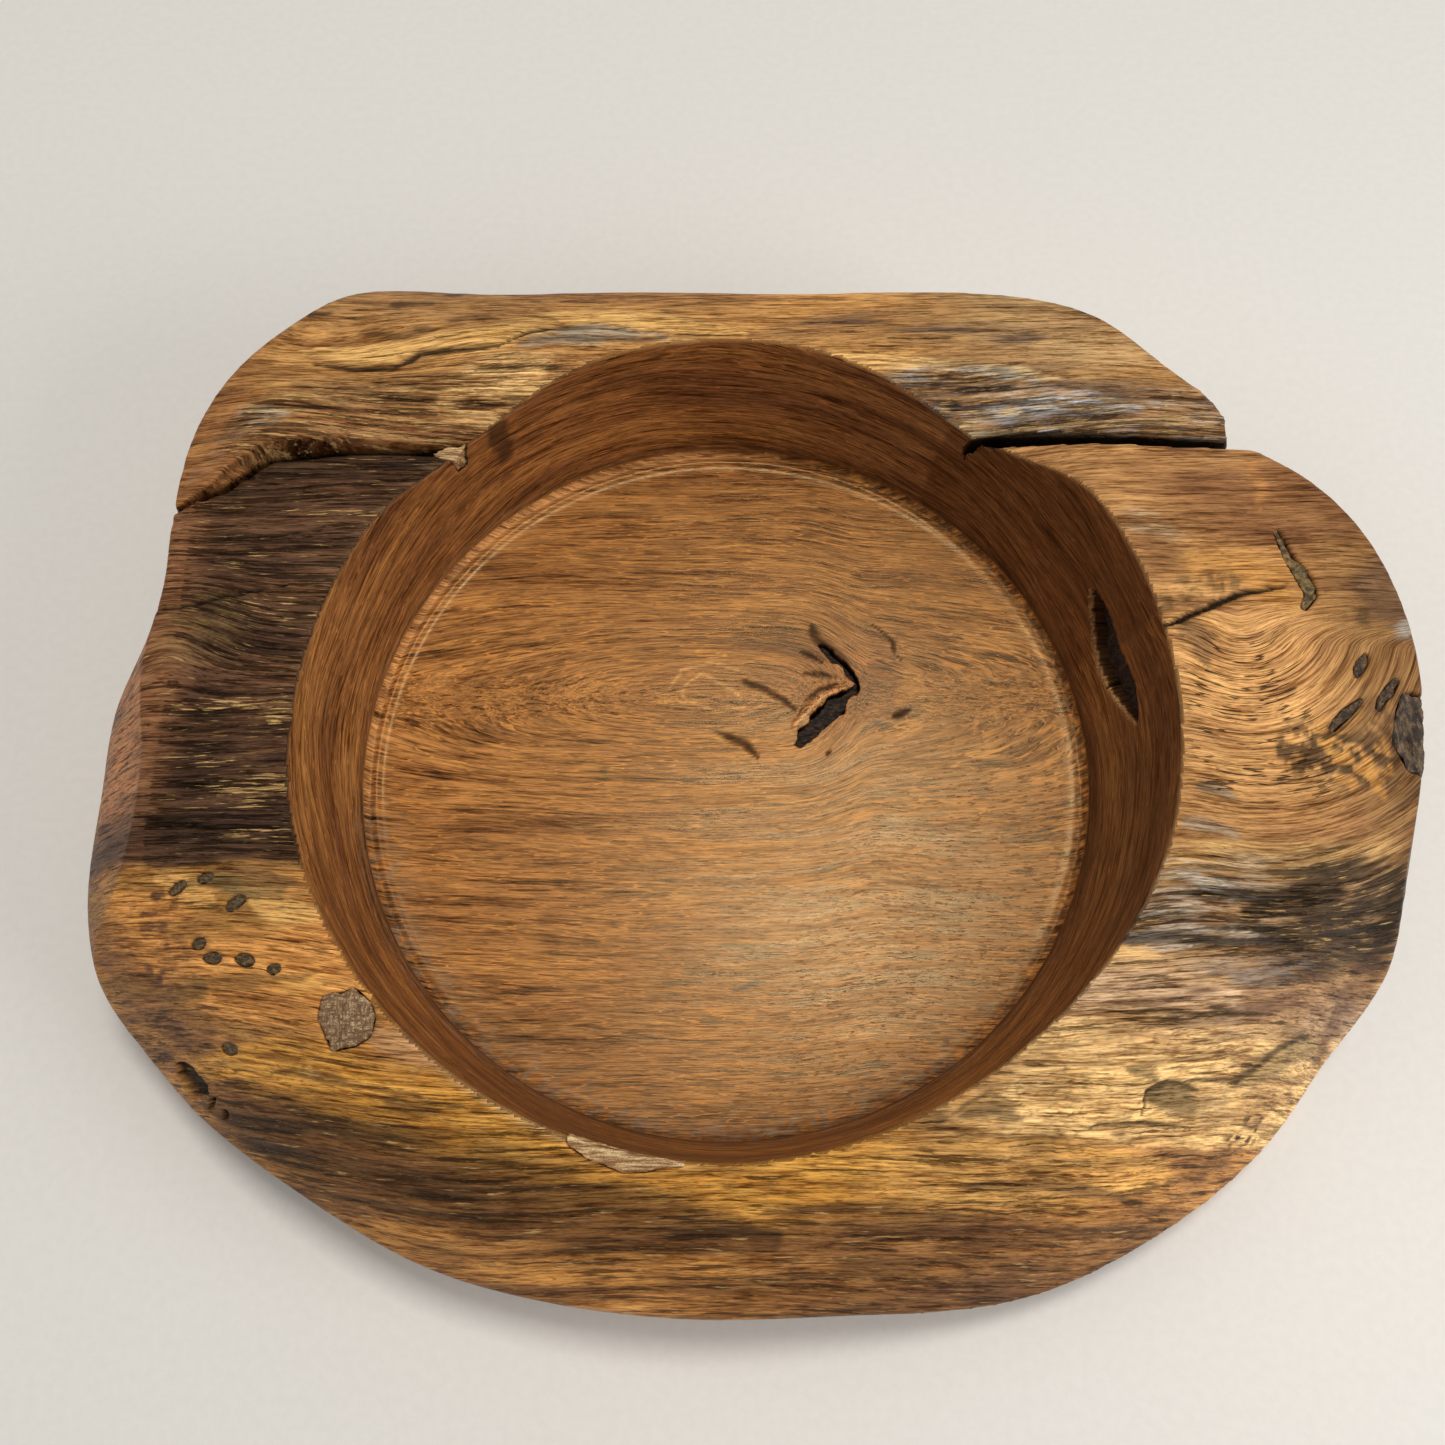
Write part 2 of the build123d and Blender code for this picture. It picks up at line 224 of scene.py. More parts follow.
def grain_field(x, y, z, on_floor, on_wall):
    """Coordinates along and across the grain. Lines of wood fibre keep the second constant."""
    wander = 1.6 * noise(x / 70, y / 26, z / 40, 3) + 0.6 * noise(x / 28, y / 9, z / 20, 4)
    # The floor: long closed rings round the eye, packed close where they pass the knot.
    reach = x - EYE[0]
    reach = 0.2 * reach + 11 * ease(reach, 22, 46)
    ring = np.hypot(y - EYE[1], reach) - 5 * bump(y + 30, 60) * ease(x, 20, 90)
    floor_across = ring + wander
    # Outside: straight along X, with a slight slope at the front left.
    slope = 0.16 * ease(-x, 20, 110) * ease(-y, 20, 70)
    outer = y + slope * (x + 60) - 0.05 * (x - 60) * ease(x, 60, 120) * ease(-y, 20, 60)
    outer = outer - 9 * bump(x + 132, 16) * bump(y - 22, 14)
    outer = outer + 7 * bump(x + 100, 30) * bump(y - 97, 9)
    to_lobe = np.hypot(x - LOBE[0], y - LOBE[1])
    in_lobe = ease(x, 84, 112) * ease(y, -62, -34) * ease(-y, -26, -12)
    outer = outer * (1 - in_lobe) + (LOBE[1] - to_lobe) * in_lobe
    across = np.where(on_floor, floor_across, outer + wander)
    depth = np.where(on_floor, 9 * np.tanh((y - EYE[1]) / 5), 0.2 * z)
    # The wall: streaks that run round it, a little aslant.
    climb = z + 5 * np.sin(2 * np.arctan2(y, x) + 0.6) + 2.5 * noise(x / 30, y / 30, z / 20, 5)
    grain = np.stack([x, across, depth], axis=1)
    round_wall = np.stack([x, climb, 0.1 * y], axis=1)
    return np.where(on_wall[:, None], round_wall, grain)


# --- The wood ---------------------------------------------------------------
class Paint:
    """Colour, relief and gloss that build up over the wood's vertices, layer by layer.

    Every layer is weighted by zone, the part of the wood that is being painted.
    """

    def __init__(self, x, y, z, across, up):
        count = len(x)
        self.x, self.y, self.z, self.across = x, y, z, across
        self.zone = 1.0
        self.level = ease(up[:, 2], 0.55, 0.85)  # 1 on faces that look up
        # Places a little off the true ones, so that no painted edge is a clean curve.
        self.wx = x + 2.2 * layers(x / 9, across / 3, z / 14, 51)
        self.wy = y + 1.1 * layers(x / 12, across / 3, z / 14, 52)
        self.color = np.zeros((count, 3))
        self.lift = np.zeros(count)
        self.rough = np.full(count, 0.48)
        self.torn = np.zeros(count)  # how much pale torn fibre shows
        self.furrow = np.zeros(count)  # how much the fibres part in dark lines
        self.pores = np.full(count, 0.3)  # how dark the short pore marks are
        self.checks = np.zeros(count)  # how many fine drying cracks follow the grain

    def figure(self, length, width, seed, octaves=2):
        """Noise in streaks of about this length and width along the grain, in mm."""
        height = self.z / STREAK_HEIGHT
        return layers(self.x / length, self.across / width, height, seed, octaves)

    def tint(self, weight, color):
        """Moves the colour by weight towards one of 0 to 255 steps."""
        weight = np.clip(weight * self.zone, 0, 1)[:, None]
        self.color += (linear(*color) - self.color) * weight

    def shade(self, weight, field, low, high, color):
        """Tints where the field is high: not at all up to low, by weight from high on."""
        self.tint(weight * ease(field, low, high), color)

    def gain(self, weight, red, green, blue):
        """Multiplies the colour where weight is 1."""
        weight = np.clip(weight * self.zone, 0, 1)[:, None]
        self.color *= 1 + weight * (np.array([red, green, blue]) - 1)

    def raise_to(self, channel, weight):
        """Brings a channel up to weight wherever it is lower."""
        weight = np.clip(weight * self.zone, 0, 1)
        setattr(self, channel, np.maximum(getattr(self, channel), weight))

    def spot(self, x, y, rx, ry, turn=0.0, soft=0.35):
        """1 inside an oval, 0 outside, with an uneven edge."""
        c, s = math.cos(math.radians(turn)), math.sin(math.radians(turn))
        dx, dy = self.wx - x, self.wy - y
        reach = np.hypot((dx * c + dy * s) / rx, (dy * c - dx * s) / ry)
        return 1 - ease(reach, 1 - soft, 1 + soft)

    def stroke(self, course, width, soft=0.5, wobble=1.0):
        """1 along a course of points, thinner at both of its ends, 0 away from it."""
        x = self.x + (self.wx - self.x) * wobble
        y = self.y + (self.wy - self.y) * wobble
        distance, share = course_distance(x, y, course)
        half = width / 2 * np.sqrt(np.clip(4 * share * (1 - share), 0.05, 1))
        return 1 - ease(distance, half * (1 - soft), half * (1 + soft))

    def draw(self, amount, color, strokes, soft=0.5, wobble=1.0, lift=0.0, rough=0.0):
        """Tints strokes of (course, width), and raises and roughens them."""
        for course, width in strokes:
            mark = self.stroke(course, width, soft, wobble)
            self.tint(mark * amount, color)
            self.lift += self.zone * mark * lift
            self.rough += self.zone * mark * rough


def paint_recess(p, floor, wall):
    """The turned recess: its smooth floor with the knot, and the wall round it."""
    x, y, z = p.x, p.y, p.z
    azimuth = np.degrees(np.arctan2(y, x))
    broad = layers(x / 45, p.across / 7, z / 8, 60)
    fine = layers(x / 16, p.across / 1.8, z / 3, 61)

    p.zone = floor
    p.tint(1, (150, 98, 50))
    p.shade(1, y, 20, 85, (142, 92, 44))
    p.shade(0.7, broad, 0, 0.8, (168, 112, 56))
    p.shade(0.7, -broad, 0.1, 0.8, (122, 76, 38))
    p.shade(0.45, fine, 0.1, 0.9, (184, 130, 70))
    p.shade(0.45, -fine, 0.2, 0.9, (102, 62, 31))
    wander = 1.5 * noise(x / 30, p.across / 12, z / 12, 62)
    rings = np.cos(p.across * math.tau / RING_PITCH + wander)
    near_eye = bump(np.hypot((x - EYE[0] - 4) * 0.45, y - EYE[1]), 22)
    patchy = ease(noise(x / 14, y / 6, z / 6, 66), -0.3, 0.3)
    p.shade(near_eye * 0.45 * patchy, rings, 0.6, 1, (112, 72, 42))
    p.raise_to("pores", 0.8 * ease(x - 0.6 * y, 0, 90))
    p.tint(0.6 * p.spot(KNOT[0] + 1, KNOT[1] + 2, 16, 13), (136, 82, 44))
    p.tint(0.8 * p.spot(KNOT[0] + 9, KNOT[1] + 1, 3.5, 9, -25), (112, 66, 38))
    for spot in ((18, 33.4, 6.5, 3, -35), (9, 34, 8, 1.8, -5), (45.5, 14.5, 4.5, 1.8, 20)):
        p.tint(0.75 * p.spot(*spot, soft=0.7), (92, 54, 34))
    halo = [(28, 43), (38, 38), (43, 30), (43.5, 22), (39, 12)]
    p.draw(0.6, (112, 68, 40), [(halo, 5)], 0.8, 0.6)
    stains = (
        ([(3.9, 23.9), (10.3, 21.4), (14.9, 18.5), (19.4, 15.6)], 1.8),
        ([(-2, 9.6), (-0.2, 8.8), (4.7, 6.9), (8.8, 2.1)], 2.0),
        ([(38.5, 40.5), (43.9, 34.4), (48.2, 28.3)], 0.9),
        ([(19, 32), (23, 31), (27, 29)], 1.6),
        ([(20, 26), (25, 26), (30, 25)], 1.6),
        ([(20.5, 18), (25, 21.5), (31, 23.5)], 1.4),
        ([(22, 40), (25, 35), (33, 28)], 3.6),
        ([(43, 13.6), (47.6, 15.5)], 1.8),
        ([(25.5, 4.8), (27, 3.2)], 1.8),
    )
    p.draw(0.9, (46, 25, 16), stains, 0.6, 0.6, rough=0.35)
    lip = [(17.8, 11), (21, 15), (25.6, 19.6), (31, 21.9)]
    p.draw(0.85, (196, 142, 92), [(lip, 1.9)], 0.5, 0.3, lift=0.35)
    inner = [(-11.7, 18.5), (-10.5, 23), (-6.8, 26), (2.4, 21.3)]
    inner += [(4.8, 16.6), (-2.8, 15.8), (-9.3, 18)]
    outer = [(-15, 20), (-12, 27), (-3, 29.5), (5, 26)]
    p.draw(0.6, (206, 150, 88), [(inner, 0.9), (outer, 0.9)], 0.8, 0.3)
    p.tint(p.stroke([(1.5, -57.5), (6, -55.6), (10.5, -54.6)], 1.1, 0.6, 0.2), (62, 60, 62))
    p.tint(0.7 * p.spot(-30.5, -1.5, 1.5, 1.2), (104, 84, 40))
    p.rough += p.zone * (0.05 * broad - 0.2)

    # The wall is darker than the floor, in long streaks that run round it.
    back = bump(azimuth - 95, 45)
    band = layers(x / 50, p.across / 6, y / 50, 63)
    streak = layers(x / 28, p.across / 1.6, y / 28, 64)
    p.zone = wall
    p.tint(1, (130, 82, 44))
    p.shade(0.8, band, 0, 0.8, (152, 100, 52))
    p.shade(0.8, -band, 0, 0.8, (100, 60, 36))
    p.shade(0.5, streak, 0.2, 0.8, (150, 97, 50))
    p.shade(0.6, -streak, 0.2, 0.8, (70, 39, 22))
    # Painted light and shade: the back and the left of the wall are made lighter, as lit, and
    # the right darker, as in shade.
    p.gain(back, 1.1, 1.15, 1.2)
    p.gain(bump(np.abs(azimuth) - 180, 30), 1.15, 1.3, 1.45)
    p.gain(bump(azimuth - 50, 25), 1.0, 1.15, 1.4)
    p.gain(bump(azimuth + 14, 26), 0.66, 0.74, 0.95)
    # Painted shade over the broad facet of the wall at the back right.
    shaded_facet = p.stroke([(58, 75), (76, 62), (90, 44), (97, 25)], 40, 0.15, 0.2)
    p.tint(0.55 * shaded_facet, (84, 48, 27))
    # Painted shadow between the ridge and the top of the wall, by the split's left end.
    p.tint(0.8 * p.spot(-58, 79, 2.4, 3), (55, 34, 22))
    p.pores = np.where(wall > 0, 0.55, p.pores)
    p.rough += p.zone * (0.06 * streak - 0.04)

    # The foot of the wall: burnished at the back left, with a painted highlight on it; grey grit
    # at the front, with a painted grey sheen; torn at the right.
    p.zone = 1.0
    radius = np.hypot(x, y)
    foot = bump(radius - (FLOOR_RADIUS - 0.6), 1.5) * (z < FLOOR_Z + 4)
    grit = layers(x / 1.3, y / 1.3, z / 1.3, 65)
    # Painted highlight on the burnished ring at the back left.
    burnish_and_highlight = foot * ease(azimuth, 70, 100) + foot * ease(-azimuth, 165, 178)
    p.tint(burnish_and_highlight * 0.6, (186, 134, 84))
    torn = 1 - np.clip(ease(azimuth, 60, 95) + ease(-azimuth, 170, 179), 0, 1)
    p.shade(foot * torn * 0.8, grit, -0.5, 0.3, (70, 44, 28))
    p.lift += foot * torn * 0.22 * grit
    # Painted grey sheen, with grey grit, along the foot at the front.
    dust_and_sheen = bump(radius - (FLOOR_RADIUS - 2), 6) * (z < FLOOR_Z + 9) * ease(-azimuth, 15, 60)
    dust_and_sheen = dust_and_sheen * (1 - ease(-azimuth, 168, 179))
    p.shade(dust_and_sheen * 0.6, grit, -0.4, 0.5, (132, 108, 86))
    p.rough += foot * 0.15 + dust_and_sheen * 0.2
    # Painted shade in the cove where the wall meets the floor.
    cove_shade = bump(z - FLOOR_Z - 2.5, 2.5) * wall
    p.tint(cove_shade * 0.55, (66, 40, 24))


def paint_ridge(p, zone):
    """The back ridge: gold on its back, rough and streaked where it falls to the split."""
    p.zone = zone
    x, y, z = p.x, p.y, p.z
    beyond = p.wy - split_y(x)
    broad = p.figure(34, 5, 70, 3)
    streak = p.figure(26, 1.7, 71)
    fine = p.figure(9, 1.1, 72)

    p.tint(1, (178, 131, 76))
    p.shade(0.7, broad, 0, 0.8, (196, 148, 88))
    p.shade(0.7, -broad, 0, 0.8, (150, 104, 60))
    p.shade(0.45, -streak, 0.35, 0.9, (112, 80, 52))
    dark_smear = p.stroke([(2, 98), (22, 103), (48, 104), (80, 101)], 9, 0.8)
    p.tint(dark_smear * (0.35 + 0.6 * ease(streak, -0.2, 0.6)), (92, 70, 56))
    flecks = ease(noise(x / 7, p.across / 1.6, z / STREAK_HEIGHT, 73), 0.35, 0.6)
    p.shade(flecks * ease(y, 100, 106), -x, -10, 30, (104, 76, 50))

    # The rough slope, with pale lips and dark furrows that run along it.
    reach = 15 + 8 * bump(x + 52, 20)
    slope = ease(reach + 4 - beyond, 0, 6) * ease(x, -132, -118)
    slope_right = slope * ease(x, 20, 60)
    p.tint(slope * 0.85, (142, 100, 62))
    p.shade(slope, streak, 0.05, 0.55, (190, 152, 100))
    p.shade(slope, -streak, 0.1, 0.6, (84, 56, 38))
    under = slope * p.stroke([(-112, 86), (-96, 86), (-80, 88), (-66, 93)], 9, 0.8)
    p.tint(under * 0.25, (120, 92, 66))
    p.shade(under * 0.5, -fine, 0, 0.5, (84, 62, 46))
    # A pale patch on the slope, painted as wear with a highlight on it.
    wear_and_highlight = slope * p.stroke([(-72, 83), (-58, 90), (-46, 95)], 13, 0.7)
    p.shade(wear_and_highlight * 0.8, fine, -0.5, 0.4, (214, 172, 116))
    # Painted grey highlights over the right of the slope, where it faces the light.
    p.shade(slope_right * 0.75, fine + 0.5 * broad, -0.1, 0.6, (160, 146, 126))
    p.shade(slope_right * 0.8, -streak, 0.15, 0.6, (76, 58, 46))
    p.lift += p.zone * slope * (0.55 * streak + 0.25 * fine)
    p.raise_to("furrow", slope * 0.8)
    p.raise_to("torn", slope * 0.45)
    p.raise_to("furrow", 0.25)
    red_low = bump(beyond - 4, 3.5) * ease(-x, 40, 70)
    p.tint(red_low * 0.7, (110, 66, 44))

    # A smooth pale lens, and the ledge under its front edge, sunk and darkened with painted
    # shade.
    lens_course = [(-107, 96.8), (-93, 95.6), (-81, 97.3), (-67, 99.8), (-56, 102), (-42, 105.2)]
    lens_course += [(-28, 106.2), (-14, 104.6), (4, 102)]
    lens = p.stroke(lens_course, 7.5, 0.3, 0.6)
    p.tint(lens * 0.9, (214, 170, 102))
    p.shade(lens * 0.4, -fine, 0.1, 0.7, (176, 130, 74))
    p.lift += p.zone * lens * 0.5
    second_lens = [(-20, 100), (12, 96), (50, 94), (84, 90)]
    p.draw(0.75, (204, 164, 106), [(second_lens, 3.6)], 0.5, 0.7)
    # Painted shade along the ledge under the lens.
    ledges = (
        ([(-105, 93.5), (-93, 92), (-83.5, 92.4), (-77, 96), (-66, 97.5), (-56, 98.8)], 1.8),
        ([(-57, 98.8), (-49.4, 102), (-42.5, 103.6), (-32, 103.8), (-21, 102.2)], 1.3),
    )
    p.draw(1, (60, 40, 27), ledges, 0.7, 0.4, lift=-0.9)
    # Grey strokes: painted grey highlights, with dark streaks among them.
    for course, width in (
        ([(-126, 72), (-120, 78), (-108, 79.5)], 7),
        ([(-133, 62), (-127, 68), (-121, 72)], 3.5),
        ([(-51, 98.6), (-38, 101.4), (-27, 101.8), (-16, 100)], 4.5),
        ([(62, 82), (84, 84), (104, 80)], 7),
        ([(40, 90), (62, 92), (80, 88)], 3.5),
    ):
        grey = p.stroke(course, width, 0.6)
        p.shade(grey * 0.8, fine, -0.5, 0.4, (164, 154, 136))
        p.shade(grey * 0.7, -streak, 0.1, 0.5, (84, 72, 60))
        p.lift += p.zone * grey * 0.3 * fine
        p.rough -= p.zone * grey * 0.12
    p.gain(1, 1.3, 1.28, 1.22)
    p.gain((1 - slope) * ease(-x, -20, 10), 0.84, 0.84, 0.9)
    # Painted highlight: lighter and greyer towards the right of the ridge's back.
    p.gain(ease(x, 50, 90) * ease(y, 88, 96), 1.05, 1.15, 1.4)
    p.gain(ease(-x, 36, 56) * ease(y, 102, 107), 0.75, 0.75, 0.82)
    smudges = (
        ([(-92, 102.8), (-83, 101.8), (-72.7, 103.9)], 2.6),
        ([(-71.4, 106.4), (-64, 107.6), (-57.6, 106.9)], 2.2),
        ([(-86, 113), (-76, 112)], 2.2),
        ([(-125, 105), (-119, 110.4), (-113, 115.8)], 2.4),
    )
    p.draw(0.75, (98, 70, 44), smudges, 0.8)
    # Painted highlight: the right of the slope lighter and greyer, and the whole right of the
    # ridge greyer.
    p.gain(slope_right, 1.15, 1.25, 1.5)
    p.gain(ease(x, 30, 70), 0.84, 0.95, 1.15)
    left_end = ease(-x, 112, 126)
    p.tint(left_end * 0.75, (152, 102, 60))
    p.shade(left_end * 0.5, streak, 0.2, 0.7, (190, 138, 86))
    p.shade(left_end * 0.5, -streak, 0.3, 0.7, (100, 66, 42))
    p.shade(0.5, x, 84, 112, (160, 114, 68))


def paint_left(p, zone):
    """The dark weathered flare: fibrous, purplish brown, with pale torn ends."""
    p.zone = zone
    x, y, z = p.x, p.y, p.z
    broad = p.figure(30, 8, 80, 3)
    streak = p.figure(20, 1.5, 81)
    fibre = noise(x / 7, p.across / 0.95, z / STREAK_HEIGHT, 82)

    p.tint(1, (86, 63, 49))
    p.shade(0.7, broad, 0, 0.8, (110, 84, 62))
    p.shade(0.8, -broad, 0, 0.8, (62, 44, 37))
    p.shade(0.6, streak, 0.2, 0.8, (122, 94, 68))
    p.shade(0.75, -streak, 0.15, 0.7, (46, 33, 29))
    p.lift += p.zone * (0.34 * streak + 0.16 * fibre)
    p.gain(1, 1.15, 1.0, 0.92)
    flank = np.clip(1.4 - p.level, 0, 1) * ease(-x, 122, 134)
    p.tint(flank * 0.9, (186, 126, 82))
    p.shade(flank * 0.6, streak, 0, 0.6, (166, 124, 88))
    p.shade(flank * 0.6, -broad, 0.1, 0.8, (96, 68, 50))
    olive = p.spot(-124, 22, 9, 7, 20, 0.7)
    p.shade(olive * 0.7, fibre, -0.4, 0.4, (136, 110, 68))
    # Painted shadow beneath the ridge, where it overhangs the flare along the split.
    shadow_under_ridge = bump(y - split_y(x), 7) * ease(x, -130, -112)
    p.tint(shadow_under_ridge * 0.75, (42, 33, 28))
    low = bump(y + 29, 9)
    p.tint(low * 0.75, (50, 34, 31))
    torn_rim = bump(np.hypot(x, y) - 99, 2.2) * ease(y, -10, 10)
    p.shade(torn_rim * 0.5, fibre, -0.2, 0.5, (144, 112, 84))
    # Where the weathered skin is torn off, pale fibres show.
    p.raise_to("furrow", 0.8 - 0.4 * (p.zone * flank > 0.3))
    p.raise_to("torn", 0.2 * p.level)
    for centre_x, centre_y, length, height, much in (
        (-113, 2.5, 17, 3.0, 0.85),
        (-102, -0.5, 8, 3.0, 1.0),
        (-105, -18, 14, 5.0, 0.85),
        (-118, -12, 12, 3.0, 0.5),
        (-96, 53, 14, 1.8, 0.75),
        (-107, 26, 16, 7.0, 0.5),
        (-117, 40, 14, 5.0, 0.4),
        (-107, -29, 16, 3.0, 0.65),
    ):
        near = bump((p.wx - centre_x) / length, 1) * bump((p.wy - centre_y) / height, 1)
        p.raise_to("torn", near * much)
    cracks = (
        ([(-140, 27.5), (-130, 27.8), (-117, 30.8), (-104, 33)], 0.9),
        ([(-135, -2), (-122, -4), (-112, -3)], 0.8),
        ([(-128, -16), (-112, -18), (-100, -17)], 0.8),
        ([(-126, 47), (-112, 46), (-98, 48)], 0.8),
        ([(-134, -24), (-118, -27), (-97, -29)], 1.1),
    )
    p.draw(1, (24, 17, 14), cracks, 0.8, 0.35, lift=-0.9)


def paint_lower_left(p, zone):
    """The yellow-orange wood round the pin knots and the branch stub, and the front's gold."""
    p.zone = zone
    x, y, z = p.x, p.y, p.z
    broad = p.figure(34, 6, 90, 3)
    streak = p.figure(24, 1.8, 91)
    fine = p.figure(8, 1.2, 92)

    p.tint(1, (166, 116, 64))
    p.shade(0.8, broad, 0, 0.7, (190, 138, 76))
    p.shade(0.7, -broad, 0, 0.7, (138, 94, 52))
    p.shade(0.5, -streak, 0.2, 0.7, (110, 74, 46))
    p.shade(0.4, fine, 0.2, 0.7, (204, 152, 90))
    p.lift += p.zone * (0.16 * streak + 0.06 * fine)
    p.raise_to("furrow", 0.35)
    p.gain(1, 1.6, 1.55, 1.45)
    flank = (1 - p.level) * ease(-x, 110, 128)
    p.tint(flank * 0.75, (152, 104, 62))
    p.shade(flank * 0.5, -broad, 0, 0.6, (106, 72, 46))
    olive = ease(noise(x / 26, p.across / 7, z / 30, 94), 0.1, 0.5)
    p.tint(olive * 0.5, (124, 96, 48))
    for course, width, color in (
        ([(-127, -36), (-120, -40), (-112.5, -44)], 5.0, (222, 170, 98)),
        ([(-105, -44), (-97, -46), (-88.5, -48)], 5.5, (216, 168, 100)),
        ([(-100, -61), (-92, -62.5), (-84, -60)], 3.5, (206, 152, 82)),
    ):
        p.tint(p.stroke(course, width, 0.4, 0.7) * 0.9, color)
    for course, width, color in (
        ([(-114, -38), (-106, -41), (-97, -41)], 4.5, (122, 98, 62)),
        ([(-121, -41), (-112, -38), (-102, -44)], 3.0, (120, 98, 62)),
        ([(-114, -60), (-104, -61.5), (-93, -60.5), (-88, -59)], 2.6, (128, 94, 52)),
        ([(-128, -63), (-121, -62), (-114, -60)], 5.0, (116, 90, 52)),
        ([(-110, -37), (-100, -38), (-93, -40)], 3.0, (104, 76, 54)),
    ):
        p.tint(p.stroke(course, width, 0.8) * 0.7, color)
    dots = ease(noise(x / 2.6, y / 1.3, z / 2, 93), 0.25, 0.5)
    dotted = bump((x + 127) / 7.5, 1) * ease(y, -66, -58) * ease(-y, 34, 40)
    p.tint(dotted * dots * 0.85, (92, 58, 50))
    tail = [(-79, -71), (-70, -74.5), (-58, -82), (-45, -88)]
    p.tint(p.stroke(tail, 7, 0.6, 0.6) * 0.7, (176, 138, 100))


def paint_front(p, zone):
    """The front, rolling down like a log: gold by the rim, a dark band, then plain brown."""
    p.zone = zone
    x, y = p.x, p.y
    broad = p.figure(46, 5, 100, 3)
    streak = p.figure(34, 1.8, 101)
    fine = p.figure(10, 1.2, 102)
    radius = np.hypot(x, y)

    p.tint(1, (150, 104, 59))
    p.shade(0.7, broad, 0, 0.7, (174, 124, 68))
    p.shade(0.7, -broad, 0, 0.7, (112, 76, 48))
    p.shade(0.6, -streak, 0.15, 0.7, (92, 62, 42))
    p.shade(0.4, fine, 0.3, 0.8, (196, 146, 88))
    p.lift += p.zone * (0.26 * streak + 0.08 * fine)
    p.raise_to("furrow", 0.55)
    p.raise_to("torn", 0.2)
    gold_course = [(-118, -77), (-96, -79), (-62, -89), (-38, -96), (0, -100), (98, -100)]
    gold = p.stroke(gold_course, 19, 0.5)
    p.tint(gold * 0.85, (196, 138, 58))
    p.shade(gold * 0.6, broad, 0, 0.6, (214, 160, 78))
    p.shade(gold * 0.55, -streak, 0.25, 0.7, (120, 80, 42))
    p.shade(gold * 0.5, x, 20, 50, (196, 154, 98))
    dark_course = [(-118, -85), (-92, -94), (-66, -101), (-30, -109), (10, -113)]
    dark = p.stroke(dark_course, 17, 0.5)
    p.tint(dark * 0.8, (82, 54, 33))
    p.shade(dark * 0.6, streak, 0.1, 0.6, (124, 84, 48))
    p.shade(dark * 0.7, -streak, 0.1, 0.6, (52, 34, 24))
    smudges = (
        ([(-100, -80), (-84, -81), (-70, -84.5), (-53, -88)], 1.4),
        ([(-72, -86), (-66, -88), (-60, -88.5)], 2.2),
        ([(50, -102.5), (66, -102), (94, -106.5)], 3.4),
        ([(8, -108), (30, -107), (52, -109)], 2.4),
        ([(60, -112), (80, -113), (96, -112)], 2.0),
    )
    p.draw(0.75, (88, 60, 40), smudges, 0.8)
    azimuth = np.degrees(np.arctan2(y, x))
    # Painted light: the front's lower flank is made lighter, as lit from the front; to the right
    # of the middle it is made darker instead.
    p.gain(ease(-y, 100, 118), 1.35, 1.3, 1.15)
    p.gain(ease(-y, 100, 118) * ease(x, -10, 20), 0.6, 0.6, 0.7)
    p.gain(ease(-x, 30, 60) * ease(y, -92, -84), 1.12, 1.12, 1.14)
    p.gain(ease(x, 40, 90) * ease(y, -112, -104), 1.45, 1.45, 1.4)
    # The rim's thin pale edge at the front left: wear, with a painted highlight along it.
    wear_and_highlight = bump(radius - 99.5, 0.9) * ease(-azimuth, 90, 100) * ease(azimuth, -168, -160)
    p.tint(wear_and_highlight * 0.75, (214, 174, 120))
    p.rough -= p.zone * 0.04


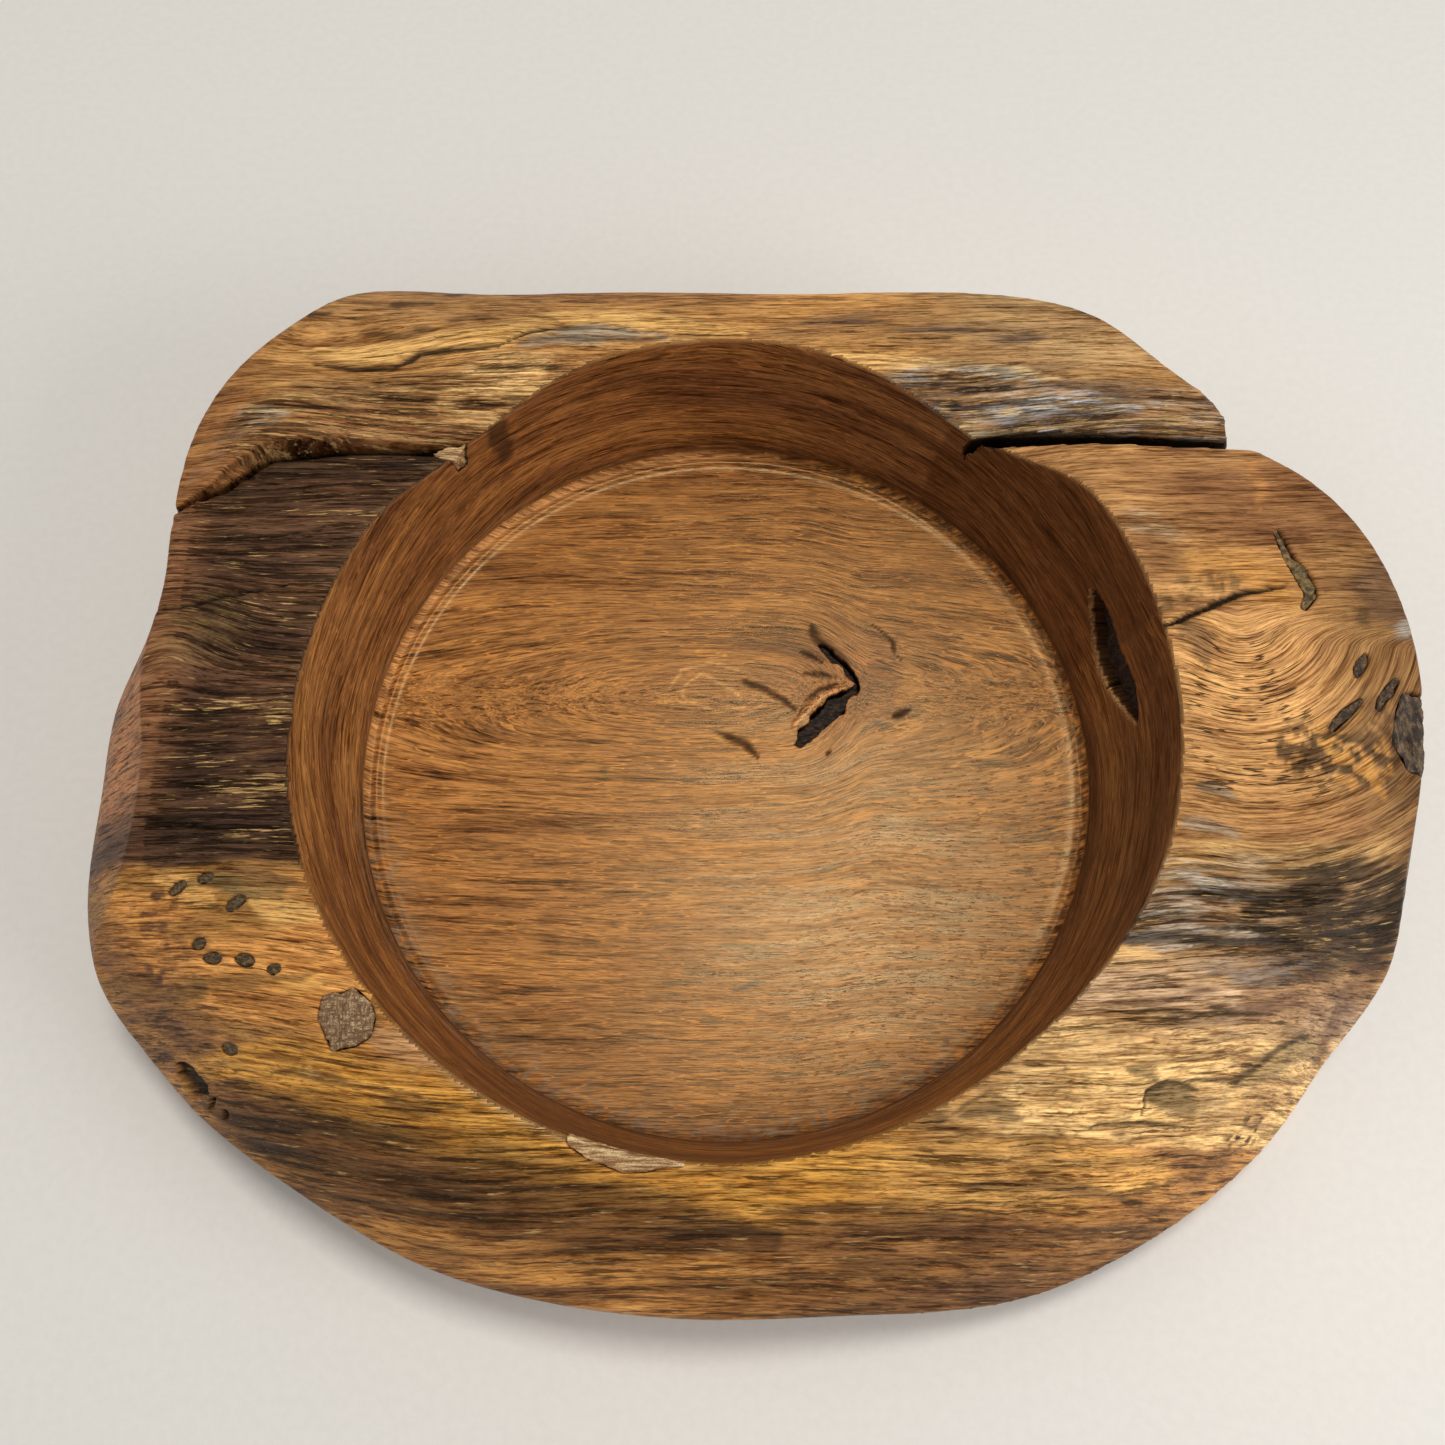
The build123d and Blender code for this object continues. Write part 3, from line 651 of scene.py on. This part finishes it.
def paint_lower_right(p, zone):
    """Pale broken steps, with the black and grey streak behind them."""
    p.zone = zone
    x, y, z = p.x, p.y, p.z
    broad = p.figure(30, 5, 110, 3)
    streak = p.figure(22, 1.6, 111)
    fine = p.figure(8, 1.0, 112)

    p.tint(1, (178, 134, 80))
    pale = ease(-y, 66, 73) * ease(x, 50, 66)
    p.tint(pale * 0.8, (214, 174, 114))
    p.shade(0.5, broad, 0.1, 0.7, (214, 172, 108))
    p.shade(0.6, -broad, 0.1, 0.7, (142, 102, 62))
    p.shade(0.6, -streak, 0.15, 0.6, (112, 84, 56))
    p.shade(0.35, fine, 0.2, 0.7, (224, 186, 126))
    # Steps where layers of fibre have broken away.
    pale = pale * p.level
    height = 2.2 * p.figure(17, 3.6, 113)
    step = np.floor(height)
    part = height - step
    p.lift += p.zone * pale * (step + ease(part, 0.0, 0.22)) * 0.5
    p.tint(pale * 0.65 * (1 - ease(part, 0.02, 0.2)), (112, 86, 58))
    p.lift += p.zone * (0.3 * streak + 0.14 * fine)
    p.raise_to("furrow", 0.35)
    p.raise_to("torn", 0.2)
    p.gain(1, 1.38, 1.42, 1.5)
    brown = bump(y + 63 + 0.03 * (x - 70), 6)
    p.tint(brown * 0.75, (204, 172, 142))
    p.tint(0.7 * p.stroke([(112, -64), (124, -63), (140, -61)], 13, 0.7), (146, 104, 66))
    p.shade(brown * 0.7, -streak, 0, 0.5, (110, 76, 58))

    streak_course = [(84, -51), (100, -49), (118, -49), (136, -46), (156, -41)]
    black = p.stroke(streak_course, 22, 0.45)
    p.tint(black * 0.85, (98, 74, 58))
    p.tint(black * ease(-x, -128, -104) * ease(fine, -0.6, 0.3) * 0.9, (188, 172, 154))
    p.shade(black * 0.7, streak, 0.1, 0.6, (166, 128, 92))
    p.shade(black * 0.8, -streak, 0.1, 0.5, (34, 27, 28))
    tip = p.stroke([(112, -49), (137, -47.5), (165, -44)], 19, 0.4)
    p.shade(tip * 0.85, -fine, -1.0, -0.15, (41, 31, 28))
    p.lift += p.zone * black * (0.35 * streak + 0.12 * fine)
    p.raise_to("furrow", black * 0.8)
    p.raise_to("torn", black * 0.25)
    bluish = p.stroke([(104, -60), (118, -60), (130, -57)], 6, 0.7)
    p.shade(bluish * 0.6, fine, -0.4, 0.3, (98, 96, 100))
    grey = p.stroke([(86, -42), (96, -40), (110, -41)], 6, 0.6)
    p.shade(grey * 0.75, fine, -0.3, 0.4, (176, 166, 152))
    smudges = (
        ([(48, -88.5), (56, -84), (63, -87)], 1.2),
        ([(50, -89), (57, -87), (63, -89)], 3.2),
        ([(40, -90.5), (47, -89)], 3.0),
        ([(86, -79), (92, -79.5), (94, -83)], 2.4),
        ([(104, -66), (112, -68)], 2.0),
    )
    p.draw(0.75, (98, 78, 54), smudges, 0.7, 0.4)
    flake = p.spot(97, -84.6, 6.5, 3.6, -8, 0.25)
    p.tint(flake * 0.85, (134, 112, 76))
    p.lift -= p.zone * flake * 0.7
    corner = p.stroke([(113, -81), (124, -76), (131, -73), (138, -71.5)], 6, 0.5, 0.5)
    p.tint(corner * 0.75, (146, 122, 80))
    p.lift += p.zone * corner * 0.7
    broken_edges = (
        ([(90.6, -88), (91.2, -83.6), (96, -81.6), (104, -83)], 1.3),
        ([(99, -81.2), (113, -80.5), (119, -77.5), (124.5, -73), (135, -69.8)], 1.4),
        ([(80, -67.8), (104, -68.2), (122, -67)], 1.2),
        ([(78, -90.6), (91, -90), (104, -90.6)], 1.2),
    )
    p.draw(0.85, (78, 56, 36), broken_edges, 0.6, 0.4, lift=-0.5)
    pits = ease(noise(x / 1.8, y / 1.8, z / 1.8, 114), 0.2, 0.4)
    p.tint(pits * p.spot(117, -93, 9, 3.5, 40, 0.6), (58, 38, 29))


def paint_lobe(p, zone):
    """The knotty lobe on the right, whose grain swirls round a buried branch."""
    p.zone = zone
    x, y, z = p.x, p.y, p.z
    broad = p.figure(22, 7, 120, 3)
    streak = p.figure(14, 1.7, 121)
    patchy = layers(x / 7, y / 7, z / 7, 122)
    gritty = layers(x / 2.4, y / 2.4, z / 2.4, 123)

    p.tint(1, (168, 118, 73))
    p.shade(0.6, broad, 0, 0.8, (184, 134, 84))
    p.shade(0.6, -broad, 0, 0.8, (142, 95, 61))
    p.shade(0.4, -streak, 0.2, 0.8, (120, 78, 50))
    p.shade(0.3, streak, 0.2, 0.8, (202, 150, 96))
    p.lift += p.zone * (0.1 * streak + 0.12 * broad)
    p.gain(1, 1.12, 1.2, 1.2)
    p.gain(ease(x, 130, 146), 0.72, 0.74, 0.74)
    p.gain(p.spot(116, 6, 20, 20, soft=0.8), 1.6, 1.7, 1.7)
    # Red-brown facets above the crack.
    for spot in ((117, 50, 12, 9, -15), (140, 52, 13, 9, -40), (131, 41, 7, 5, -30)):
        p.tint(0.65 * p.spot(*spot, soft=0.5), (122, 78, 50))
    p.tint(0.7 * p.stroke([(128, 64), (127, 54), (127, 47)], 3, 0.8), (182, 126, 74))
    for spot in ((113, 32, 9, 4, 5), (125, 30, 8, 4.5, 10), (127, 24.5, 5, 3, 0)):
        p.tint(0.7 * p.spot(*spot, soft=0.6), (196, 140, 74))
    rough = p.stroke([(99, 21), (106, 26), (113, 28), (120, 28)], 7, 0.6)
    p.shade(rough * 0.8, gritty, -0.5, 0.3, (100, 76, 50))
    p.lift += p.zone * rough * 0.4 * gritty
    p.draw(0.65, (122, 92, 64), [([(104, 19), (108, 14), (107, 8)], 5.5)], 0.6)
    # Painted highlight: a pale grey patch on the lobe.
    gloss_and_sheen = p.spot(100, 43, 7, 3.2, -20, 0.6)
    p.shade(gloss_and_sheen * 0.75, streak, -0.5, 0.3, (190, 166, 132))
    p.tint(0.6 * p.spot(101, 35, 6, 5, -30, 0.7), (110, 72, 46))
    # Fine checks along the swirl.
    checked = ease(x, 99, 106) * ease(-x, -138, -126) * ease(-y, -19, -11) * ease(y, -30, -20)
    p.raise_to("checks", checked)
    # Mottled bark under the streaks, and the dark smooth patch with its white spot.
    mottled = p.stroke([(121, -14), (131, -13), (141, -15), (145, -22)], 14, 0.45)
    p.tint(mottled * ease(gritty + 0.4 * patchy, -0.15, 0.2) * 0.9, (78, 58, 40))
    p.tint(mottled * ease(-gritty, 0.05, 0.4) * 0.85, (204, 148, 78))
    beside = p.spot(147, -10, 6, 11, soft=0.6)
    p.tint(beside * ease(gritty, -0.5, 0.3) * 0.8, (92, 66, 46))
    p.lift += p.zone * mottled * 0.35 * gritty
    p.tint(0.8 * p.spot(151.5, 26, 6.5, 8, 15, 0.3), (112, 84, 64))
    p.tint(0.8 * p.spot(155.5, 17, 2.6, 2.2, 30, 0.5), (176, 170, 160))
    p.tint(0.8 * p.spot(146, 19.5, 1.6, 2.6, 0, 0.5), (92, 68, 46))
    scars = (
        ([(101, -21), (106, -21.5), (111, -24)], 2.6),
        ([(98, -29), (106, -30), (112, -33)], 3.0),
    )
    p.draw(0.7, (150, 138, 122), scars, lift=-0.3)
    crack = [(94, 14.8), (101, 17.6), (111, 22.4), (117.5, 25.4), (124, 26.5), (130, 27.5)]
    p.draw(1, (22, 14, 10), [(crack, 1.5)], wobble=0.35, lift=-1.6)
    p.rough -= p.zone * 0.06


def paint_sides(p, side, low):
    """The block's steep flanks, sawn or sanded, and its hidden underside."""
    p.zone = 1.0
    streak = layers(p.x / 24, p.across / 3, p.z / 9, 130, 2)
    p.shade(side * 0.6, p.y, 100, 118, (158, 112, 66))
    p.shade(side * 0.35, streak, 0.1, 0.7, (176, 128, 80))
    p.shade(side * 0.45, -streak, 0.1, 0.7, (92, 62, 42))
    right_edge = [(163, 28), (161, 8), (158.5, -12), (154, -32), (149, -52), (139, -74)]
    edge = p.stroke(right_edge, 13, 0.6)
    p.gain(edge * np.maximum(1 - p.level, 0.85), 0.42, 0.36, 0.35)
    p.lift *= 0.15 + 0.85 * p.level
    # A dark hole in the bulge at the front left, with two smaller ones beside it.
    holes = (
        ([(-127, -76), (-123, -79.2), (-118.5, -82.6)], 4.6),
        ([(-117.2, -84.2), (-116, -85.2)], 2.4),
        ([(-114.4, -86.6), (-113.2, -87.6)], 2.0),
    )
    p.zone = bump(p.z - 31, 10)
    p.draw(1, (30, 20, 15), holes, 0.4, 0.5, lift=-1.6)
    p.zone = 1.0
    p.tint(low, (124, 86, 54))


def turn_recess(mesh, points, radius, above, wall_radius):
    """Puts the turned recess back exactly, since the remesh leaves it faintly uneven.

    The rest is smoothed. The masks returned are of the recess and of its exact wall.
    """
    floor_sharp = (radius < FLOOR_RADIUS - 0.6) & (np.abs(above) < 1.1)
    wall_sharp = (np.abs(radius - wall_radius) < 0.9) & (above > 1.2) & ~floor_sharp
    tallest = 0.12 + 0.63 * ease(points[:, 1] - points[:, 0], -20, 60)
    bead = tallest * bump(radius - (FLOOR_RADIUS - BEAD_INSET), 1.0)
    points[floor_sharp, 2] = FLOOR_Z + bead[floor_sharp]
    inside = radius < FLOOR_RADIUS + 0.4 + WALL_LEAN * np.clip(above, 0, 60)
    inside &= above > -1.5
    upright = normals(mesh)[:, 2] < 0.45
    near_wall = np.abs(radius - wall_radius) < 0.6 * VOXEL
    on_wall = wall_sharp & (upright | near_wall)
    points[on_wall, :2] *= (wall_radius[on_wall] / radius[on_wall])[:, None]
    points = smoothed(mesh, points, np.where(floor_sharp | on_wall, 0.0, 0.5), 2)
    return points, inside, on_wall


def tear_knot(points):
    """Makes the edges of the floor's knot torn, not straight."""
    near_knot = bump(np.hypot(points[:, 0] - KNOT[0], points[:, 1] - KNOT[1]), 17)
    near_knot *= points[:, 2] < FLOOR_Z + 2
    for axis in (0, 1):
        tear = layers(points[:, 0] / 3, points[:, 1] / 3, np.zeros(len(points)), 140 + axis, 2)
        points[:, axis] += near_knot * tear


def paint_zones(p, outside, beyond):
    """Shares out the wood outside the recess, and paints each kind."""
    ridge = outside * (beyond > 0)
    main = outside * (beyond <= 0)
    on_left = main * ease(-p.x, 20, 40)
    dark_left = ease(p.wy, -37.5, -34)
    lobe_end = ease(p.wy, -38, -30)
    front = main * ease(-p.wy - 0.24 * np.minimum(p.x, 0), 92, 96)
    front = np.maximum(front, main * ease(-p.wy, 62, 70) * ease(60 - abs(p.x), 10, 24))
    paint_ridge(p, ridge)
    paint_left(p, on_left * dark_left)
    paint_lower_left(p, on_left * (1 - dark_left))
    paint_lobe(p, main * ease(p.x, 20, 40) * lobe_end)
    paint_lower_right(p, main * ease(p.x, 24, 48) * (1 - lobe_end))
    paint_front(p, front)


def paint_hollows(p, outside, radius, above, wall_radius, beyond):
    """Paints shade deep in the pockets and the split. Returns where the split is."""
    x, y, z = p.x, p.y, p.z
    # Painted shade in the pocket behind the wall at the right.
    behind_wall = outside * (radius > wall_radius + 1.2) * (above > 8) * (above < 36)
    behind_wall = behind_wall * (radius < 106) * (x > 84) * (y < 48) * (y > -8)
    p.tint(behind_wall * 0.9, (58, 33, 20))
    # Painted shade deep in the split, below its top.
    top = np.where(beyond > 0, 50.0, 52.0) + 9 * ease(x, 40, 95) * ease(y, -95, -30)
    in_split = outside * (np.abs(beyond) < 3.2) * ease(top - z, 1.5, 5) * (np.abs(x) < 150)
    p.tint(in_split, (36, 26, 19))
    # Painted shade in the pockets under the floor.
    pocket = (radius < 60) & (above < -0.6)
    p.tint(pocket, (38, 25, 17))
    return in_split


def build_wood():
    mesh = remeshed("bowl_body", "wood", VOXEL)
    points = positions(mesh)
    radius = np.hypot(points[:, 0], points[:, 1])
    above = points[:, 2] - FLOOR_Z
    wall_radius = FLOOR_RADIUS + WALL_LEAN * above
    points, inside, on_wall = turn_recess(mesh, points, radius, above, wall_radius)
    tear_knot(points)
    place(mesh, points)
    up = normals(mesh)
    x, y, z = points.T

    on_floor = inside & (above < COVE_HEIGHT)
    grain = grain_field(x, y, z, on_floor, inside & ~on_floor)
    p = Paint(x, y, z, grain[:, 1], up)
    outside = (~inside).astype(float)
    beyond = y - split_y(x)
    paint_recess(p, on_floor.astype(float), (inside & ~on_floor).astype(float))
    paint_zones(p, outside, beyond)
    low = outside * ease(-up[:, 2], 0.5, 0.8)
    paint_sides(p, outside * ease(-up[:, 2], -0.5, -0.2), low)
    in_split = paint_hollows(p, outside, radius, above, wall_radius, beyond)

    # No relief underneath, in the recess or in the split, and less of it at the rim.
    p.lift *= 1 - low
    p.lift *= np.where(on_wall, 0.0, 1.0) * (1 - in_split)
    p.lift *= 1 - 0.6 * outside * bump(radius - wall_radius - 0.5, 1.4)
    # Painted shade: the colour darkens where the relief sinks in.
    p.color *= np.clip(1 + 0.35 * np.minimum(p.lift, 0), 0.5, 1)[:, None]
    place(mesh, points + up * p.lift[:, None])
    keep(mesh, "grain", grain)
    keep(mesh, "tint", p.color)
    keep(mesh, "gloss_and_sheen", np.clip(p.rough, 0.2, 0.9))
    keep(mesh, "turned", inside.astype(float))
    keep(mesh, "torn", p.torn * (1 - in_split))
    keep(mesh, "furrow", p.furrow)
    keep(mesh, "pores", p.pores)
    keep(mesh, "checks", p.checks)
    return piece_from(mesh, "wood", wood_material(), ["bowl_body"])


# --- Materials --------------------------------------------------------------
class Nodes:
    """Short calls for building a material's nodes."""

    def __init__(self, name):
        self.material = bpy.data.materials.new(name)
        self.material.use_nodes = True
        self.tree = self.material.node_tree
        self.shader = self.tree.nodes["Principled BSDF"]

    def link(self, source, target):
        self.tree.links.new(source, target)

    def attribute(self, name, output="Fac"):
        node = self.tree.nodes.new("ShaderNodeAttribute")
        node.attribute_name = name
        return node.outputs[output]

    def position(self):
        """The place in the part's frame, in mm."""
        node = self.tree.nodes.new("ShaderNodeTexCoord")
        return self.scaled(node.outputs["Object"], (1000, 1000, 1000))

    def scaled(self, vector, scale):
        node = self.tree.nodes.new("ShaderNodeVectorMath")
        node.operation = "MULTIPLY"
        self.link(vector, node.inputs[0])
        node.inputs[1].default_value = scale
        return node.outputs[0]

    def noise(self, vector, scale, detail=2.0, roughness=0.5):
        node = self.tree.nodes.new("ShaderNodeTexNoise")
        self.link(self.scaled(vector, scale), node.inputs["Vector"])
        node.inputs["Scale"].default_value = 1.0
        node.inputs["Detail"].default_value = detail
        node.inputs["Roughness"].default_value = roughness
        return node.outputs["Fac"]

    def span(self, value, low, high, to_low=0.0, to_high=1.0):
        node = self.tree.nodes.new("ShaderNodeMapRange")
        node.interpolation_type = "SMOOTHSTEP"
        self.link(value, node.inputs["Value"])
        for name, number in zip(
            ("From Min", "From Max", "To Min", "To Max"), (low, high, to_low, to_high)
        ):
            node.inputs[name].default_value = number
        return node.outputs["Result"]

    def math(self, operation, a, b):
        node = self.tree.nodes.new("ShaderNodeMath")
        node.operation = operation
        for socket, value in zip(node.inputs, (a, b)):
            if isinstance(value, (int, float)):
                socket.default_value = value
            else:
                self.link(value, socket)
        return node.outputs[0]

    def plus(self, a, b):
        return self.math("ADD", a, b)

    def minus(self, a, b):
        return self.math("SUBTRACT", a, b)

    def times(self, a, b):
        return self.math("MULTIPLY", a, b)

    def mix(self, kind, share, a, b):
        node = self.tree.nodes.new("ShaderNodeMix")
        node.data_type = "RGBA"
        node.blend_type = kind
        node.clamp_factor = True
        for socket, value in ((node.inputs[0], share), (node.inputs[6], a), (node.inputs[7], b)):
            if isinstance(value, (int, float, tuple)):
                socket.default_value = value
            else:
                self.link(value, socket)
        return node.outputs[2]

    def line(self, value, width):
        """1 in a narrow band where a noise passes its middle value: long thin lines."""
        off_middle = self.math("ABSOLUTE", self.minus(value, 0.5), 0.0)
        return self.span(off_middle, width, 0.3 * width)

    def finish(self, color, rough, height, depth, strength=1.0):
        self.link(color, self.shader.inputs["Base Color"])
        if isinstance(rough, float):
            self.shader.inputs["Roughness"].default_value = rough
        else:
            self.link(rough, self.shader.inputs["Roughness"])
        bump_node = self.tree.nodes.new("ShaderNodeBump")
        bump_node.inputs["Strength"].default_value = strength
        bump_node.inputs["Distance"].default_value = depth
        self.link(height, bump_node.inputs["Height"])
        self.link(bump_node.outputs["Normal"], self.shader.inputs["Normal"])
        return self.material


def wood_material():
    n = Nodes("root_wood")
    grain = n.attribute("grain", "Vector")
    tint = n.attribute("tint", "Color")
    gloss_and_sheen = n.attribute("gloss_and_sheen")
    turned = n.attribute("turned")
    furrow = n.attribute("furrow")
    torn = n.attribute("torn")
    raw = n.minus(1.0, turned)

    # Fibres of three widths lighten and darken the wood.
    band = n.noise(grain, (0.025, 0.34, 0.2), 3.0, 0.6)
    fibre = n.noise(grain, (0.05, 0.8, 0.5), 4.0, 0.72)
    hair = n.noise(grain, (0.13, 2.2, 1.2), 3.0, 0.7)
    light = n.plus(n.span(band, 0.2, 0.8, -0.25, 0.25), n.span(fibre, 0.25, 0.75, -0.4, 0.4))
    light = n.plus(light, n.span(hair, 0.25, 0.75, -0.65, 0.65))
    light = n.times(light, n.plus(n.times(turned, 0.15), 1.0))
    color = n.mix("MULTIPLY", 1.0, tint, n.plus(light, 1.0))
    warm = n.mix("MIX", n.span(light, -0.45, 0.0), (1.0, 0.78, 0.58, 1), (1, 1, 1, 1))
    color = n.mix("MULTIPLY", 1.0, color, warm)

    # Thin lines: pale ones, which are partly painted glints, dark ones, and short dark pores.
    pale_hair_and_glint = n.line(n.noise(grain, (0.05, 0.8, 0.5), 2.0, 0.6), 0.022)
    pale = n.mix("MULTIPLY", 1.0, tint, (2.1, 2.0, 1.7, 1))
    color = n.mix("MIX", n.times(pale_hair_and_glint, n.span(turned, 0, 1, 0.35, 0.85)), color, pale)
    dark_hair = n.line(n.noise(grain, (0.03, 0.7, 0.4), 2.0, 0.6), 0.014)
    dark = n.mix("MULTIPLY", 1.0, tint, (0.42, 0.31, 0.24, 1))
    color = n.mix("MIX", n.times(dark_hair, 0.6), color, dark)
    pore = n.span(n.noise(grain, (0.4, 2.6, 1.6), 1.0, 0.5), 0.38, 0.30)
    pore = n.times(pore, n.attribute("pores"))
    color = n.mix("MIX", pore, color, n.mix("MULTIPLY", 1.0, tint, (0.36, 0.29, 0.25, 1)))

    # Drying checks, which break off and start again along the grain.
    check = n.line(n.noise(grain, (0.05, 0.6, 0.3), 2.0, 0.6), 0.026)
    gap = n.span(n.noise(grain, (0.12, 0.3, 0.3), 1.0), 0.42, 0.5)
    check = n.times(n.times(check, gap), n.attribute("checks"))
    color = n.mix("MIX", n.times(check, 0.9), color, rgba(52, 32, 20))

    # Dark furrows between weathered fibres, and pale fibres torn out of them.
    cleft = n.minus(n.noise(grain, (0.05, 1.0, 0.6), 4.0, 0.7), n.times(furrow, 0.14))
    cleft = n.times(n.span(cleft, 0.37, 0.27), n.span(furrow, 0.0, 0.3))
    deep = n.mix("MULTIPLY", 1.0, tint, (0.22, 0.17, 0.14, 1))
    color = n.mix("MIX", n.times(cleft, 0.85), color, deep)
    shred = n.plus(n.noise(grain, (0.13, 1.9, 1.0), 3.0, 0.6), n.times(torn, 0.22))
    shred = n.times(n.span(shred, 0.65, 0.73), n.span(torn, 0.02, 0.3))
    color = n.mix("MIX", n.times(shred, 0.9), color, rgba(214, 172, 110))

    height = n.plus(n.times(fibre, 0.5), n.times(hair, 0.3))
    height = n.minus(height, n.times(pore, 0.3))
    height = n.minus(height, n.times(n.plus(cleft, check), 0.9))
    height = n.plus(height, n.times(shred, 0.4))
    height = n.times(height, n.plus(n.times(raw, 0.8), 0.2))
    rough = n.plus(gloss_and_sheen, n.span(fibre, 0.3, 0.7, -0.06, 0.08))
    n.link(n.plus(n.times(turned, 0.17), 0.26), n.shader.inputs["Specular IOR Level"])
    n.shader.inputs["Specular Tint"].default_value = rgba(255, 224, 170)
    return n.finish(color, rough, height, 0.0006)


def bark_material(name, dark, light, scale=(0.5, 1.2, 1.2), rough=0.85, crossing=None):
    """Rough natural matter. crossing is the scale of a second set of ridges across the first."""
    n = Nodes(name)
    place_mm = n.position()
    coarse = n.noise(place_mm, scale, 4.0, 0.65)
    if crossing:
        coarse = n.math("MINIMUM", coarse, n.noise(place_mm, crossing, 3.0, 0.6))
    fine = n.noise(place_mm, (3.0, 4.0, 4.0), 2.0)
    color = n.mix("MIX", n.span(coarse, 0.4, 0.68), rgba(*dark), rgba(*light))
    color = n.mix("MULTIPLY", 0.6, color, n.span(fine, 0.3, 0.7, 0.5, 1.4))
    height = n.plus(coarse, n.times(fine, 0.4))
    return n.finish(color, rough, height, 0.0006)


def rgba(r, g, b):
    return (*[float(c) for c in linear(r, g, b)], 1.0)


# --- The small pieces -------------------------------------------------------
def detail(node, material, slot, roughness_mm, size=(3.0, 1.5, 1.5), seed=0, voxel=PIECE_VOXEL):
    """A rough, detailed stand-in for a small CAD node, with relief of its own."""
    name = node + "_detail"
    mesh = remeshed(node, name, voxel)
    points = positions(mesh)
    x, y, z = points.T
    lift = roughness_mm * layers(x / size[0], y / size[1], z / size[2], 200 + seed)
    up = normals(mesh)
    place(mesh, points + up * (lift - 0.4 * roughness_mm)[:, None])
    return piece_from(mesh, name, material, [node])


def build_pieces():
    bark = bark_material("bark", (22, 15, 11), (84, 60, 42))
    crust = bark_material("split_crust", (26, 19, 13), (92, 72, 48), (0.12, 0.9, 0.9))
    knot = bark_material("dead_knot", (62, 48, 30), (132, 106, 66), (0.9, 1.5, 1.5), 0.6)
    stub_colors = (124, 92, 60), (228, 194, 148)
    stub = bark_material("grey_end_grain", *stub_colors, (0.5, 1.8, 0.4), 0.7, (1.8, 0.5, 0.4))
    pale = bark_material("pale_splinter", (150, 102, 58), (246, 212, 156), (0.15, 1.4, 0.4), 0.6)
    gum = bark_material("dried_gum", (70, 54, 28), (158, 128, 74), (0.7, 0.7, 0.7), 0.5)
    scab = bark_material("edge_bark_wood", (48, 36, 28), (126, 102, 76), (0.9, 0.4, 0.9), 0.7)
    streak = bark_material("bark_streak_wood", (46, 33, 22), (122, 92, 58), (0.8, 0.8, 0.8), 0.7)

    detail("floor_knot_bark", bark, "bark", 0.5, (4, 1.5, 1.5), 1)
    detail("wall_pocket_bark", bark, "bark", 0.9, (2, 2.2, 9), 2)
    detail("left_split_bark", crust, "bark", 0.7, (8, 1.5, 1.5), 3)
    detail("right_split_bark", crust, "bark", 0.7, (8, 1.5, 1.5), 4)
    detail("fissure_chip", pale, "pale_splinter", 0.5, (4, 1.2, 1.2), 5)
    detail("rim_splinter", pale, "pale_splinter", 0.25, (4, 0.8, 0.8), 6, 0.35)
    detail("branch_stub", stub, "grey_end_grain", 0.45, (1.2, 1.2, 3), 7)
    detail("crack_gum", gum, "dried_gum", 0.5, (1.5, 1.5, 1.5), 8)
    detail("edge_bark", scab, "bark", 0.7, (1.6, 5, 3), 9)
    for number in (1, 2, 3):
        detail(f"bark_streak_{number}", streak, "bark", 0.35, (1.5, 1.5, 1.5), 10 + number)
    for number in range(1, 9):
        detail(f"pin_knot_{number}", knot, "dead_knot", 0.25, (1.5, 1.0, 2), 20 + number, 0.4)


# --- Stage, light and camera ------------------------------------------------
def area_light(name, place_m, size_m, watts, color):
    """A soft light aimed at the bowl, which sits at the origin."""
    data = bpy.data.lights.new(name, "AREA")
    data.shape = "RECTANGLE"
    data.size, data.size_y = size_m
    data.energy = watts
    data.color = color
    light = bpy.data.objects.new(name, data)
    light.location = place_m
    light.rotation_euler = (-light.location).to_track_quat("-Z", "Y").to_euler()
    bpy.context.scene.collection.objects.link(light)


def build_stage():
    mesh = bpy.data.meshes.new("table")
    half = 4.0  # of the table's side, m
    corners = [(-half, -half, 0), (half, -half, 0), (half, half, 0), (-half, half, 0)]
    mesh.from_pydata(corners, [], [(0, 1, 2, 3)])
    table = bpy.data.objects.new("table", mesh)
    bpy.context.scene.collection.objects.link(table)
    n = Nodes("table")
    paper = n.noise(n.position(), (0.4, 0.4, 0.4), 3.0)
    color = n.mix("MIX", n.span(paper, 0.3, 0.7), rgba(233, 230, 225), rgba(236, 233, 228))
    mesh.materials.append(n.finish(color, 0.7, paper, 0.0001))

    world = bpy.data.worlds.new("studio")
    world.use_nodes = True
    background = world.node_tree.nodes["Background"]
    background.inputs["Color"].default_value = (1.0, 0.98, 0.95, 1)
    background.inputs["Strength"].default_value = 0.26
    bpy.context.scene.world = world
    # The ceiling light stands where the floor's sheen mirrors it to the camera.
    area_light("ceiling", (0.165, 0.345, 1.7), (0.42, 0.42), 13.0, (1.0, 0.97, 0.92))
    area_light("left_fill", (-1.1, 0.1, 0.8), (0.8, 0.6), 2.1, (1.0, 0.99, 0.97))
    area_light("right_window", (0.72, -0.3, 0.46), (0.5, 0.4), 3.2, (1.0, 0.99, 0.97))


def build_camera():
    """The camera over the bowl, tilted a little away from straight down."""
    data = bpy.data.cameras.new("camera")
    data.sensor_width = 36.0
    data.lens = 34.63  # mm, a wide view from close by
    data.clip_start = 0.01
    camera = bpy.data.objects.new("camera", data)
    height = 0.3391  # over the recess's floor, m
    camera.location = (0.0004, -0.1122, FLOOR_Z * MM + height)
    camera.rotation_euler = (math.radians(20.15), math.radians(0.2), 0)
    bpy.context.scene.collection.objects.link(camera)
    bpy.context.scene.camera = camera


build_wood()
build_pieces()
build_stage()
build_camera()
bpy.context.scene.view_settings.view_transform = "Standard"
